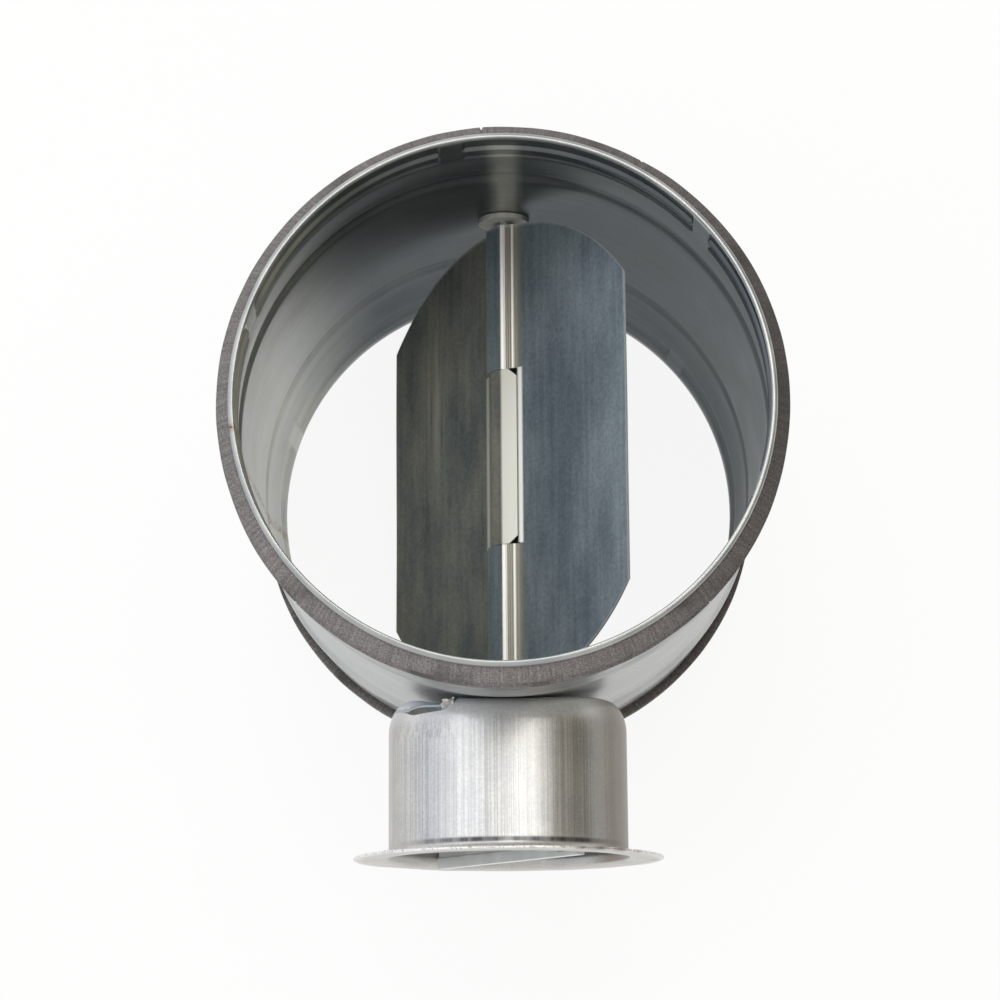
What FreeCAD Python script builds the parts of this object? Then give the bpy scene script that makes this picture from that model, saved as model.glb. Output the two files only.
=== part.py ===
import FreeCAD, Part
import math
import os
import re
import Sketcher

# Manual control damper for round duct, nominal size 160.
# The duct axis is +Z, with the rear end at z = 0 and the front end on top.
# The shaft runs along Y through the middle of the duct, and the setting cup points to -Y.

doc = FreeCAD.newDocument("ControlDamper")
sheet = doc.addObject("Spreadsheet::Sheet", "Sizes")

# Driving dimensions in millimetres and degrees
sizes = {
    # duct shell
    "duct_length": 165.0,
    "spigot_radius": 79.4,
    "duct_sheet": 0.6,
    "groove_depth": 3.8,
    "groove_start": 13.4,
    "groove_run": 1.4,
    "hem_width": 2.3,
    "hem_depth": 2.2,
    "hem_round": 0.5,
    "bead_place": 42.0,
    "bead_height": 1.2,
    "bead_arc": 9.0,
    # lip seals
    "seal_gap": 0.05,
    "seal_set": 1.0,
    "lip_reach": 2.6,
    "lip_place": 7.7,
    "lip_land": 1.0,
    "lip_spacing": 6.0,
    "lip_web": 1.6,
    "second_lip_rise": 0.4,
    # shaft and its bearings
    "shaft_radius": 3.0,
    "bearing_gap": 0.05,
    "bush_flange_radius": 8.0,
    "bush_flange": 1.5,
    "bush_radius": 6.0,
    "bush_hole_gap": 0.1,
    "upper_bush_reach": 3.1,
    "clip_outer": 9.5,
    "clip_sheet": 0.7,
    "shaft_top_reach": 7.6,
    "ring_groove_depth": 0.6,
    "ring_sheet": 0.8,
    "ring_outer": 5.5,
    "ring_mouth": 4.2,
    "oring_section": 0.9,
    # blade
    "rest_angle": 52.0,
    "blade_edge_gap": 3.3,
    "blade_half_width": 59.2,
    "blade_sheet": 0.6,
    "blade_bend": 7.8,
    "bend_radius": 6.0,
    "slit_end": 10.2,
    "tab_length": 4.6,
    "tab_ridge": 2.4,
    "ridge_radius": 0.8,
    "wrap_length": 4.5,
    "tab_split": 28.0,
    "tab_slit": 0.5,
    "tab_corner": 2.4,
    # setting cup
    "cup_radius": 36.4,
    "cup_sheet": 0.8,
    "cup_gap": 0.1,
    "cup_depth": 45.5,
    "cup_shoulder": 7.0,
    "flange_width": 10.7,
    "flange_bend": 2.4,
    "notch_angle": 39.0,
    "notch_inset": 9.4,
    "notch_half_width": 7.7,
    "notch_depth": 4.2,
    "flap_width": 11.0,
    "flap_length": 5.0,
    # rivets between cup and duct
    "rivet_place": 24.0,
    "rivet_radius": 1.95,
    "rivet_hole_gap": 0.1,
    "rivet_head": 3.5,
    "rivet_head_height": 1.3,
    # bearing nut and quadrant plate
    "nut_flats": 18.0,
    "nut_height": 4.0,
    "bush_proud": 1.0,
    "plate_sheet": 2.0,
    "plate_gap": 0.3,
    "plate_rim": 2.05,
    "plate_hub": 10.0,
    "drive_flats": 4.6,
    "drive_gap": 0.05,
    "slot_gap": 0.35,
    "slot_margin": 2.0,
    "slot_land": 10.0,
    "slot_turn": 45.0,
    # lock stud, washers and wing nut
    "stud_place": 22.0,
    "stud_radius": 3.0,
    "stud_collar": 5.5,
    "stud_head_radius": 4.2,
    "stud_head": 0.7,
    "stud_proud": 10.5,
    "washer_outer": 6.4,
    "washer_sheet": 1.0,
    "stack_gap": 0.05,
    "spring_washer_outer": 5.4,
    "spring_washer_sheet": 1.5,
    "spring_washer_mouth": 1.2,
    "washer_gap": 0.15,
    "wing_hub": 5.0,
    "wing_hub_height": 5.0,
    "wing_span": 10.5,
    "wing_sheet": 2.0,
    "wing_rise": 5.5,
    # handle
    "handle_side_gap": 0.8,
    "handle_sheet": 1.8,
    "handle_plate_gap": 5.4,
    "handle_proud": 0.5,
    "handle_corner": 8.0,
    "handle_hem": 3.2,
    "handle_hem_sheet": 2.8,
    "handle_barrel": 4.0,
    "handle_slot_inset": 4.8,
    "handle_slot_length": 9.0,
    "handle_slot_width": 2.2,
    "handle_slot_depth": 1.3,
    "handle_rivet_place": 10.0,
    "handle_rivet_depth": 13.0,
    "handle_rivet_radius": 1.5,
    "handle_rivet_head": 2.8,
    "handle_rivet_height": 0.8,
    "shaft_recess": 6.0,
}
for row, (alias, value) in enumerate(sizes.items(), 1):
    sheet.set(f"A{row}", alias)
    sheet.set(f"B{row}", str(value))
    sheet.setAlias(f"B{row}", alias)
doc.recompute()

# Sizes that follow from those above, by a named clearance, depth or width
follow = {
    "groove_radius": "(spigot_radius - groove_depth)",
    "hem_radius": "(spigot_radius - groove_depth + hem_width)",
    "seal_body": "(spigot_radius - seal_set)",
    "lip_radius": "(spigot_radius + lip_reach)",
    "blade_radius": "(spigot_radius - duct_sheet - blade_edge_gap)",
    "cup_low": "(spigot_radius + cup_gap)",
    "cup_floor": "(cup_low + cup_sheet)",
    "cup_face": "(cup_low + cup_depth)",
    "flange_radius": "(cup_radius + flange_width)",
    "notch_edge": "(cup_radius - notch_inset)",
    "slot_half_width": "(stud_radius + slot_gap)",
    "plate_radius": "(stud_place + slot_half_width + plate_rim)",
    "bush_seat": "sqrt((spigot_radius - duct_sheet) ^ 2 - bush_flange_radius ^ 2)",
    "bush_end": "(cup_floor + nut_height + bush_proud)",
    "upper_end": "(spigot_radius + upper_bush_reach)",
    "plate_low": "(bush_end + plate_gap)",
    "plate_top": "(plate_low + plate_sheet)",
    "shaft_end": "(cup_face - shaft_recess)",
    "handle_half_width": "(cup_radius - cup_sheet - handle_side_gap)",
    "handle_start": "(plate_top + handle_plate_gap)",
    "handle_slot_place": "(handle_half_width - handle_slot_inset)",
}


def sheet_formula(formula):
    """Turn a formula in size names into an expression on the sheet, sizes that follow written out."""
    def written_out(word):
        name = word.group()
        return sheet_formula(follow[name]) if name in follow else "Sizes." + name
    return re.sub(r"[a-z_]+(?![a-z_(])", written_out, formula)


def bind(item, **formulas):
    for prop, formula in formulas.items():
        item.setExpression(prop, sheet_formula(formula))
    return item


def size(alias):
    return float(sheet.get(alias))


# Placements: pieces on the shaft line are drawn with +Z towards the cup's mouth,
# and turning pieces also stand at the blade's rest angle.
MIDDLE = "vector(0; 0; duct_length / 2)"
TO_CUP = "rotation(vector(1; 0; 0); 90)"
TO_TOP = "rotation(vector(1; 0; 0); -90)"
AT_REST = " * rotation(vector(0; 0; 1); rest_angle)"
Y_AXIS = FreeCAD.Vector(0, 1, 0)
Z_AXIS = FreeCAD.Vector(0, 0, 1)


def place(item, base, turn):
    item.setExpression("Placement", sheet_formula(f"placement({base}; {turn})"))
    return item


def on_shaft(item, turning=False, to_top=False):
    return place(item, MIDDLE, (TO_TOP if to_top else TO_CUP) + (AT_REST if turning else ""))


def body(label):
    item = doc.addObject("PartDesign::Body", label)
    item.Label = label
    return item


def plane(owner, role):
    return [face for face in owner.Origin.OriginFeatures if face.Role == role][0]


def outline(owner, name, role, corners):
    """Closed outline of straight runs; each corner is a pair of formulas from the origin."""
    sketch = owner.newObject("Sketcher::SketchObject", name)
    sketch.AttachmentSupport = [(plane(owner, role), "")]
    sketch.MapMode = "FlatFace"
    count = len(corners)
    reach = size("spigot_radius")
    turns = [2 * math.pi * i / count for i in range(count)]
    start = [FreeCAD.Vector(reach * math.cos(turn), reach * math.sin(turn), 0) for turn in turns]
    for i in range(count):
        sketch.addGeometry(Part.LineSegment(start[i], start[(i + 1) % count]))
    for i in range(count):
        sketch.addConstraint(Sketcher.Constraint("Coincident", i, 2, (i + 1) % count, 1))
    for i, corner in enumerate(corners):
        for kind, formula in zip(("DistanceX", "DistanceY"), corner):
            here = start[i].x if kind == "DistanceX" else start[i].y
            index = sketch.addConstraint(Sketcher.Constraint(kind, -1, 1, i, 1, here))
            sketch.setExpression(f"Constraints[{index}]", sheet_formula(formula))
    return sketch


def circle(owner, name, role, radius, centre=("0", "0")):
    sketch = owner.newObject("Sketcher::SketchObject", name)
    sketch.AttachmentSupport = [(plane(owner, role), "")]
    sketch.MapMode = "FlatFace"
    sketch.addGeometry(Part.Circle(FreeCAD.Vector(1, 1, 0), FreeCAD.Vector(0, 0, 1), 5))
    for kind, formula in (("DistanceX", centre[0]), ("DistanceY", centre[1])):
        index = sketch.addConstraint(Sketcher.Constraint(kind, -1, 1, 0, 3, 1.0))
        sketch.setExpression(f"Constraints[{index}]", sheet_formula(formula))
    index = sketch.addConstraint(Sketcher.Constraint("Radius", 0, 5.0))
    sketch.setExpression(f"Constraints[{index}]", sheet_formula(radius))
    return sketch


def turned(owner, name, corners, kind="Revolution"):
    """Full turn about the body's Z axis of an outline in radius and height."""
    profile = outline(owner, name + "_outline", "XZ_Plane", corners)
    feature = owner.newObject("PartDesign::" + kind, name)
    feature.Profile = profile
    feature.ReferenceAxis = (profile, ["V_Axis"])
    feature.Angle = 360
    return feature


def pocket(owner, name, profile, depth, away=False, midplane=False):
    feature = owner.newObject("PartDesign::Pocket", name)
    feature.Profile = profile
    bind(feature, Length=depth)
    feature.Reversed = away
    feature.Midplane = midplane
    return feature


def torus(owner, name, kind, major, minor, height):
    ring = owner.newObject("PartDesign::" + kind + "Torus", name)
    bind(ring, Radius1=major, Radius2=minor)
    ring.setExpression("Placement.Base.z", sheet_formula(height))
    return ring


def rounded(owner, name, edges, radius, kind="Fillet"):
    last = owner.Tip
    feature = owner.newObject("PartDesign::" + kind, name)
    feature.Base = (last, edges)
    bind(feature, **{"Radius" if kind == "Fillet" else "Size": radius})
    doc.recompute()
    return feature


def edge_names(shape, wanted):
    return [f"Edge{number}" for number, edge in enumerate(shape.Edges, 1) if wanted(edge)]


def ring_edge(shape, radius, height):
    """Names of the full circles of this radius about the local Z axis at this height."""
    def wanted(edge):
        curve = edge.Curve
        return (curve.TypeId == "Part::GeomCircle" and abs(curve.Radius - radius) < 1e-3
                and abs(curve.Center.z - height) < 1e-3)
    return edge_names(shape, wanted)


def straight_edge(shape, direction, spot):
    """Names of the straight edges along one direction that pass the spot; None means any."""
    def wanted(edge):
        if edge.Curve.TypeId != "Part::GeomLine" or abs(abs(edge.Curve.Direction * direction) - 1) > 1e-6:
            return False
        middle = edge.CenterOfMass
        return all(place is None or abs(here - place) < 1e-3 for here, place in zip(middle, spot))
    return edge_names(shape, wanted)


def pad(owner, name, profile, length, midplane=False):
    feature = owner.newObject("PartDesign::Pad", name)
    feature.Profile = profile
    bind(feature, Length=length)
    feature.Midplane = midplane
    return feature


def lift(profile, height):
    profile.setExpression("AttachmentOffset.Base.z", sheet_formula(height))
    return profile


def solid(kind, name, turn=None, base=None, **formulas):
    """A Part primitive with bound sizes, for the booleans below."""
    item = bind(doc.addObject("Part::" + kind, name), **formulas)
    if base or turn:
        place(item, base or "vector(0; 0; 0)", turn or "rotation(vector(0; 0; 1); 0)")
    return item


def cut(name, base, tool):
    item = doc.addObject("Part::Cut", name)
    item.Base = base
    item.Tool = tool
    return item


def join(name, items, kind="MultiFuse"):
    item = doc.addObject("Part::" + kind, name)
    item.Shapes = items
    return item


def mirrored(points, length):
    """The same end outline at the far end, walked back."""
    return [(radius, f"{length} - ({depth})") for radius, depth in reversed(points)]


parts = []


def keep(item, label):
    item.Label = label
    parts.append(item)
    return item


# Duct shell: spigot tube with a stop bead, a seal groove and a hemmed edge at each end
def duct_shell():
    shell = body("duct_shell")
    end = [
        ("hem_radius - hem_round", "0"),
        ("hem_radius", "hem_round"),
        ("hem_radius", "hem_depth"),
        ("hem_radius - duct_sheet", "hem_depth"),
        ("hem_radius - duct_sheet", "duct_sheet"),
        ("groove_radius", "duct_sheet"),
        ("groove_radius", "groove_start - groove_run"),
        ("spigot_radius", "groove_start"),
    ]
    outer = [("0", "0")] + end + mirrored(end, "duct_length") + [("0", "duct_length")]
    turned(shell, "outer_form", outer)
    bead_centre = "spigot_radius + bead_height - bead_arc"
    heights = ("bead_place", "duct_length - bead_place")
    for number, height in enumerate(heights, 1):
        torus(shell, f"bead_{number}", "Additive", bead_centre, "bead_arc", height)
    throat = "groove_radius - duct_sheet"
    hollow_end = [
        (throat + " + hem_round", "-1"),
        (throat + " + hem_round", "0"),
        (throat, "hem_round"),
        (throat, "groove_start - groove_run + duct_sheet * 0.7"),
        ("spigot_radius - duct_sheet", "groove_start + duct_sheet * 0.7"),
    ]
    hollow = [("0", "-1")] + hollow_end + mirrored(hollow_end, "duct_length") + [("0", "duct_length + 1")]
    turned(shell, "inner_form", hollow, kind="Groove")
    for number, height in enumerate(heights, 1):
        torus(shell, f"bead_hollow_{number}", "Subtractive", bead_centre, "bead_arc - duct_sheet", height)
    shaft_hole = circle(shell, "shaft_hole", "XZ_Plane", "bush_radius + bush_hole_gap",
                        ("0", "duct_length / 2"))
    pocket(shell, "shaft_holes", shaft_hole, "4 * spigot_radius", midplane=True)
    for number, side in enumerate(("-", "+"), 1):
        spot = circle(shell, f"rivet_spot_{number}", "XZ_Plane", "rivet_radius + rivet_hole_gap",
                      ("0", f"duct_length / 2 {side} rivet_place"))
        pocket(shell, f"rivet_hole_{number}", spot, "spigot_radius + bead_height", away=True)
    return keep(shell, "duct_shell")


# Rubber seals: a base in the groove and two backswept lips with a narrow round land
def lip_seal(label, at_front):
    seal = body(label)
    bed = "groove_radius + seal_gap"
    hem_inside = "hem_radius - duct_sheet - seal_gap"
    second = "lip_place + lip_spacing"
    turned(seal, "seal_form", [
        (bed, "duct_sheet + seal_gap"),
        (hem_inside, "duct_sheet + seal_gap"),
        (hem_inside, "hem_depth + seal_gap"),
        ("hem_radius - hem_round", "hem_depth + seal_gap"),
        ("lip_radius", "lip_place - lip_land"),
        ("lip_radius", "lip_place"),
        ("seal_body", "lip_place - lip_web"),
        ("seal_body", "lip_place"),
        ("lip_radius + second_lip_rise", second + " - lip_land"),
        ("lip_radius + second_lip_rise", second),
        ("seal_body", second + " - lip_web * 1.3"),
        (bed, second + " - lip_web * 1.3"),
    ])
    if at_front:
        place(seal, "vector(0; 0; duct_length)", "rotation(vector(1; 0; 0); 180)")
    return keep(seal, label)


# Shaft bearings: flanged bushes in the duct wall, flange inside
def bush(label, end, to_top, seal_seat=None):
    piece = body(label)
    bore = "shaft_radius + bearing_gap"
    corners = [
        (bore, "bush_seat - bush_flange"),
        ("bush_flange_radius", "bush_seat - bush_flange"),
        ("bush_flange_radius", "bush_seat"),
        ("bush_radius", "bush_seat"),
        ("bush_radius", end),
    ]
    if seal_seat:
        pocket_radius = bore + " + 2 * oring_section"
        corners += [(pocket_radius, end), (pocket_radius, seal_seat), (bore, seal_seat)]
    else:
        corners += [(bore, end)]
    turned(piece, "bush_form", corners)
    on_shaft(piece, to_top=to_top)
    return keep(piece, label)


def bush_clip():
    """Push-on ring round the upper bush, outside the duct."""
    ring = body("upper_bush_clip")
    low = "spigot_radius + stack_gap"
    turned(ring, "ring_form", [
        ("bush_radius + stack_gap", low),
        ("clip_outer", low),
        ("clip_outer", low + " + clip_sheet"),
        ("bush_radius + clip_sheet", low + " + clip_sheet"),
        ("bush_radius + stack_gap", low + " + 2 * clip_sheet"),
    ])
    on_shaft(ring, to_top=True)
    return keep(ring, "upper_bush_clip")


def shaft_seal():
    ring = solid("Torus", "shaft_seal", base="vector(0; -(bush_end - oring_section); duct_length / 2)",
                 turn=TO_CUP, Radius1="shaft_radius + bearing_gap + oring_section",
                 Radius2="oring_section - stack_gap")
    return keep(ring, "shaft_seal")


def bearing_nut():
    """Hexagon nut on the lower bush; it clamps the cup and the duct wall to the bush flange."""
    nut = body("bearing_nut")
    across = "nut_flats / sqrt(3)"
    low = "cup_floor + stack_gap"
    corners = [(f"{across} * cos({60 * k})", f"{across} * sin({60 * k})") for k in range(6)]
    pad(nut, "hexagon", lift(outline(nut, "hexagon_outline", "XY_Plane", corners), low), "nut_height")
    top = low + " + nut_height"
    turned(nut, "corner_bevel", [
        ("nut_flats / 2", top + " + stack_gap"),
        ("nut_flats", top + " + stack_gap"),
        ("nut_flats", f"{top} - (nut_flats / 2) * 0.58"),
        ("nut_flats / 2", top),
    ], kind="Groove")
    bore = lift(circle(nut, "bore_outline", "XY_Plane", "bush_radius + stack_gap"), low)
    pocket(nut, "bore", bore, "2 * nut_height", away=True)
    on_shaft(nut)
    return keep(nut, "bearing_nut")


# Setting cup: deep-drawn, with an open flange and a cut-out in the shoulder
def across_notch(distance, width):
    """Local x and y of a point seen from the shaft in the direction of the notch."""
    return (f"-({distance}) * sin(notch_angle) + ({width}) * cos(notch_angle)",
            f"({distance}) * cos(notch_angle) + ({width}) * sin(notch_angle)")


def setting_cup():
    cup = body("setting_cup")
    low = "cup_low"
    hole = "bush_radius + bush_hole_gap"
    turned(cup, "drawn_form", [
        (hole, low),
        ("cup_radius", low),
        ("cup_radius", "cup_face - cup_sheet"),
        ("flange_radius", "cup_face - cup_sheet"),
        ("flange_radius", "cup_face"),
        ("cup_radius - cup_sheet", "cup_face"),
        ("cup_radius - cup_sheet", low + " + cup_sheet"),
        (hole, low + " + cup_sheet"),
    ])
    doc.recompute()
    base, face = cup.Shape.BoundBox.ZMin, cup.Shape.BoundBox.ZMax
    outer, gauge = size("cup_radius"), size("cup_sheet")
    inner = outer - gauge
    rounded(cup, "shoulder_outside", ring_edge(cup.Shape, outer, base), "cup_shoulder")
    rounded(cup, "shoulder_inside", ring_edge(cup.Shape, inner, base + gauge), "cup_shoulder - cup_sheet")
    rounded(cup, "bend_outside", ring_edge(cup.Shape, inner, face), "flange_bend")
    rounded(cup, "bend_inside", ring_edge(cup.Shape, outer, face - gauge), "flange_bend - cup_sheet")
    notch = outline(cup, "notch_outline", "XY_Plane", [
        across_notch("notch_edge", "-notch_half_width"),
        across_notch("notch_edge", "notch_half_width"),
        across_notch("cup_radius + notch_depth", "notch_half_width * 1.5"),
        across_notch("cup_radius + notch_depth", "-notch_half_width * 1.5"),
    ])
    pocket(cup, "notch", lift(notch, low + " + notch_depth"), "notch_depth + 1")
    flap = outline(cup, "flap_outline", "XY_Plane", [
        across_notch("notch_edge - cup_sheet", "-flap_width / 2"),
        across_notch("notch_edge - cup_sheet", "flap_width / 2"),
        across_notch("notch_edge", "flap_width / 2"),
        across_notch("notch_edge", "-flap_width / 2"),
    ])
    pad(cup, "flap", lift(flap, low), "cup_sheet + flap_length")
    spots = [("rivet_radius + rivet_hole_gap", ("0", "rivet_place")),
             ("rivet_radius + rivet_hole_gap", ("0", "-rivet_place")),
             ("stud_radius + rivet_hole_gap", ("stud_place * sqrt(0.5)", "-stud_place * sqrt(0.5)"))]
    for number, (radius, centre) in enumerate(spots, 1):
        spot = lift(circle(cup, f"hole_spot_{number}", "XY_Plane", radius, centre), low + " + 2 * cup_sheet")
        pocket(cup, f"hole_{number}", spot, "3 * cup_sheet")
    on_shaft(cup)
    return keep(cup, "setting_cup")


def rivet(name, seat, grip_end, radius, head, height):
    """Rivet along Z with a flat-topped head at each end of its grip."""
    piece = body(name)
    turned(piece, name + "_form", [
        ("0", f"{seat} - {height}"),
        (f"{head} * 0.6", f"{seat} - {height}"),
        (head, f"{seat} - {height} * 0.4"),
        (head, seat),
        (radius, seat),
        (radius, grip_end),
        (head, grip_end),
        (head, f"{grip_end} + {height} * 0.4"),
        (f"{head} * 0.6", f"{grip_end} + {height}"),
        ("0", f"{grip_end} + {height}"),
    ])
    return piece


def group(label, pieces):
    item = doc.addObject("Part::Compound", label)
    item.Links = pieces
    return keep(item, label)


def cup_rivets():
    seat = "sqrt((spigot_radius - duct_sheet) ^ 2 - rivet_head ^ 2)"
    pieces = []
    for number, side in enumerate(("-", "+"), 1):
        piece = rivet(f"cup_rivet_{number}", seat, "cup_floor + stack_gap", "rivet_radius", "rivet_head",
                      "rivet_head_height")
        place(piece, f"vector(0; 0; duct_length / 2 {side} rivet_place)", TO_CUP)
        pieces.append(piece)
    return group("cup_rivets", pieces)


# Shaft, its retaining ring and the quadrant plate
def shaft():
    """Shaft turned with a ring groove at its upper end and two flats from the plate on."""
    rod = body("shaft")
    groove_low = "-(upper_end + 2 * bearing_gap + ring_sheet + stack_gap)"
    groove_top = "-(upper_end + 2 * bearing_gap - stack_gap)"
    upper = "-(upper_end + shaft_top_reach)"
    turned(rod, "rod_form", [
        ("0", upper),
        ("shaft_radius - ring_groove_depth", upper),
        ("shaft_radius", upper + " + ring_groove_depth"),
        ("shaft_radius", groove_low),
        ("shaft_radius - ring_groove_depth", groove_low),
        ("shaft_radius - ring_groove_depth", groove_top),
        ("shaft_radius", groove_top),
        ("shaft_radius", "shaft_end - ring_groove_depth"),
        ("shaft_radius - ring_groove_depth", "shaft_end"),
        ("0", "shaft_end"),
    ])
    for number, side in enumerate(("", "-"), 1):
        flat = lift(outline(rod, f"flat_outline_{number}", "XY_Plane", [
            ("-2 * shaft_radius", f"{side}drive_flats / 2"),
            ("2 * shaft_radius", f"{side}drive_flats / 2"),
            ("2 * shaft_radius", f"{side}2 * shaft_radius"),
            ("-2 * shaft_radius", f"{side}2 * shaft_radius"),
        ]), "plate_low - stack_gap")
        pocket(rod, f"flat_{number}", flat, "cup_face", away=True)
    on_shaft(rod, turning=True)
    return keep(rod, "shaft")


def shaft_clip():
    """Open retaining ring in the shaft groove, above the upper bush."""
    disc = solid("Cylinder", "clip_disc", Radius="ring_outer", Height="ring_sheet")
    bore = solid("Cylinder", "clip_bore", Radius="shaft_radius - ring_groove_depth + bearing_gap",
                 Height="ring_sheet")
    mouth = solid("Box", "clip_mouth", base="vector(0; -ring_mouth / 2; 0)", Length="2 * ring_outer",
                  Width="ring_mouth", Height="ring_sheet")
    ring = cut("shaft_clip", disc, join("clip_opening", [bore, mouth]))
    raise_along_shaft(ring, "-(upper_end + 2 * bearing_gap + ring_sheet)")
    return keep(ring, "shaft_clip")


def quadrant_plate():
    """Turns with the shaft; the lock stud stands in its arc slot and clamps it."""
    def sector(name, radius, half_angle):
        return solid("Cylinder", name, turn=f"rotation(vector(0; 0; 1); -90 - ({half_angle}))",
                     Radius=radius, Height="plate_sheet", Angle=f"2 * ({half_angle})")

    half_slot = "slot_turn + slot_margin"
    blank = join("plate_blank", [
        sector("plate_sector", "plate_radius", half_slot + " + slot_land"),
        solid("Cylinder", "plate_hub", Radius="plate_hub", Height="plate_sheet"),
    ])
    slot = cut("slot_band", sector("slot_outer", "stud_place + slot_half_width", half_slot),
               sector("slot_inner", "stud_place - slot_half_width", half_slot))
    ends = [solid("Cylinder", f"slot_end_{number}", Radius="slot_half_width", Height="plate_sheet",
                  base=f"vector({side}stud_place * sin({half_slot}); -stud_place * cos({half_slot}); 0)")
            for number, side in enumerate(("", "-"), 1)]
    across = "(drive_flats + 2 * drive_gap)"
    bore = join("drive_hole", [
        solid("Cylinder", "drive_round", Radius="shaft_radius + drive_gap", Height="plate_sheet"),
        solid("Box", "drive_square", base=f"vector(-2 * shaft_radius; -{across} / 2; 0)",
              Length="4 * shaft_radius", Width=across, Height="plate_sheet"),
    ], kind="MultiCommon")
    plate = cut("quadrant_plate", blank, join("plate_openings", [slot, bore] + ends))
    raise_along_shaft(plate, "plate_low")
    return keep(plate, "quadrant_plate")


# Lock stud through the cup floor, with washers and a wing nut
STUD_LINE = "vector(stud_place * sqrt(0.5); 0; duct_length / 2 - stud_place * sqrt(0.5))"


def on_stud(item, label):
    place(item, STUD_LINE, TO_CUP)
    return keep(item, label)


def washer_stack(level):
    """Height of the underside of each piece on the stud, counted from the plate."""
    steps = ["washer_gap", "washer_sheet + stack_gap", "spring_washer_sheet + stack_gap"]
    return " + ".join(["plate_top"] + steps[:level + 1])


def lock_stud():
    stud = body("lock_stud")
    floor_low = "cup_low - stack_gap"
    floor_top = "cup_floor + stack_gap"
    end = "plate_top + stud_proud"
    turned(stud, "stud_form", [
        ("0", floor_low + " - stud_head"),
        ("stud_head_radius", floor_low + " - stud_head"),
        ("stud_head_radius", floor_low),
        ("stud_radius", floor_low),
        ("stud_radius", floor_top),
        ("stud_collar", floor_top),
        ("stud_collar", "plate_low - washer_gap"),
        ("stud_radius", "plate_low - washer_gap"),
        ("stud_radius", end + " - ring_groove_depth"),
        ("stud_radius - ring_groove_depth", end),
        ("0", end),
    ])
    return on_stud(stud, "lock_stud")


def flat_ring(label, level, outer, thickness):
    ring = body(label)
    low = washer_stack(level)
    bore = "stud_radius + washer_gap"
    turned(ring, label + "_form", [
        (bore, low), (outer, low), (outer, f"{low} + {thickness}"), (bore, f"{low} + {thickness}"),
    ])
    return ring


def spring_washer():
    ring = flat_ring("spring_washer", 1, "spring_washer_outer", "spring_washer_sheet")
    mouth = outline(ring, "mouth_outline", "XY_Plane", [
        ("0", "-spring_washer_mouth / 2"),
        ("2 * spring_washer_outer", "-spring_washer_mouth / 2"),
        ("2 * spring_washer_outer", "spring_washer_mouth / 2"),
        ("0", "spring_washer_mouth / 2"),
    ])
    pocket(ring, "mouth", lift(mouth, washer_stack(2)), "2 * spring_washer_sheet")
    return on_stud(ring, "spring_washer")


def wing_nut():
    nut = body("wing_nut")
    low = washer_stack(2)
    top = low + " + wing_hub_height"
    turned(nut, "hub_form", [
        ("0", low), ("wing_hub", low), ("wing_hub", low + " + wing_hub_height / 2"),
        ("wing_hub * 0.8", top), ("0", top),
    ])
    for number, side in enumerate(("", "-"), 1):
        wing = outline(nut, f"wing_outline_{number}", "XZ_Plane", [
            (f"{side}wing_hub * 0.7", low + " + wing_hub_height * 0.2"),
            (f"{side}wing_span", low + " + wing_hub_height * 0.6"),
            (f"{side}wing_span", f"{top} + wing_rise"),
            (f"{side}wing_hub", f"{top} + wing_rise * 0.6"),
            (f"{side}wing_hub * 0.7", top),
        ])
        pad(nut, f"wing_{number}", wing, "wing_sheet", midplane=True)
    doc.recompute()
    span = size("wing_span")
    tips = [straight_edge(nut.Shape, Y_AXIS, (side * span, 0, None)) for side in (1, -1)]
    rounded(nut, "wing_tips", tips[0] + tips[1], "wing_sheet")
    bore = lift(circle(nut, "thread_outline", "XY_Plane", "stud_radius + bearing_gap"), low)
    pocket(nut, "thread", bore, "4 * wing_hub_height", away=True)
    return on_stud(nut, "wing_nut")


# Handle: folded fin along the blade, gripping the shaft between its two leaves
RIVET_SPOTS = [(side + "handle_rivet_place", "handle_start + handle_rivet_depth") for side in ("", "-")]


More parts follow.
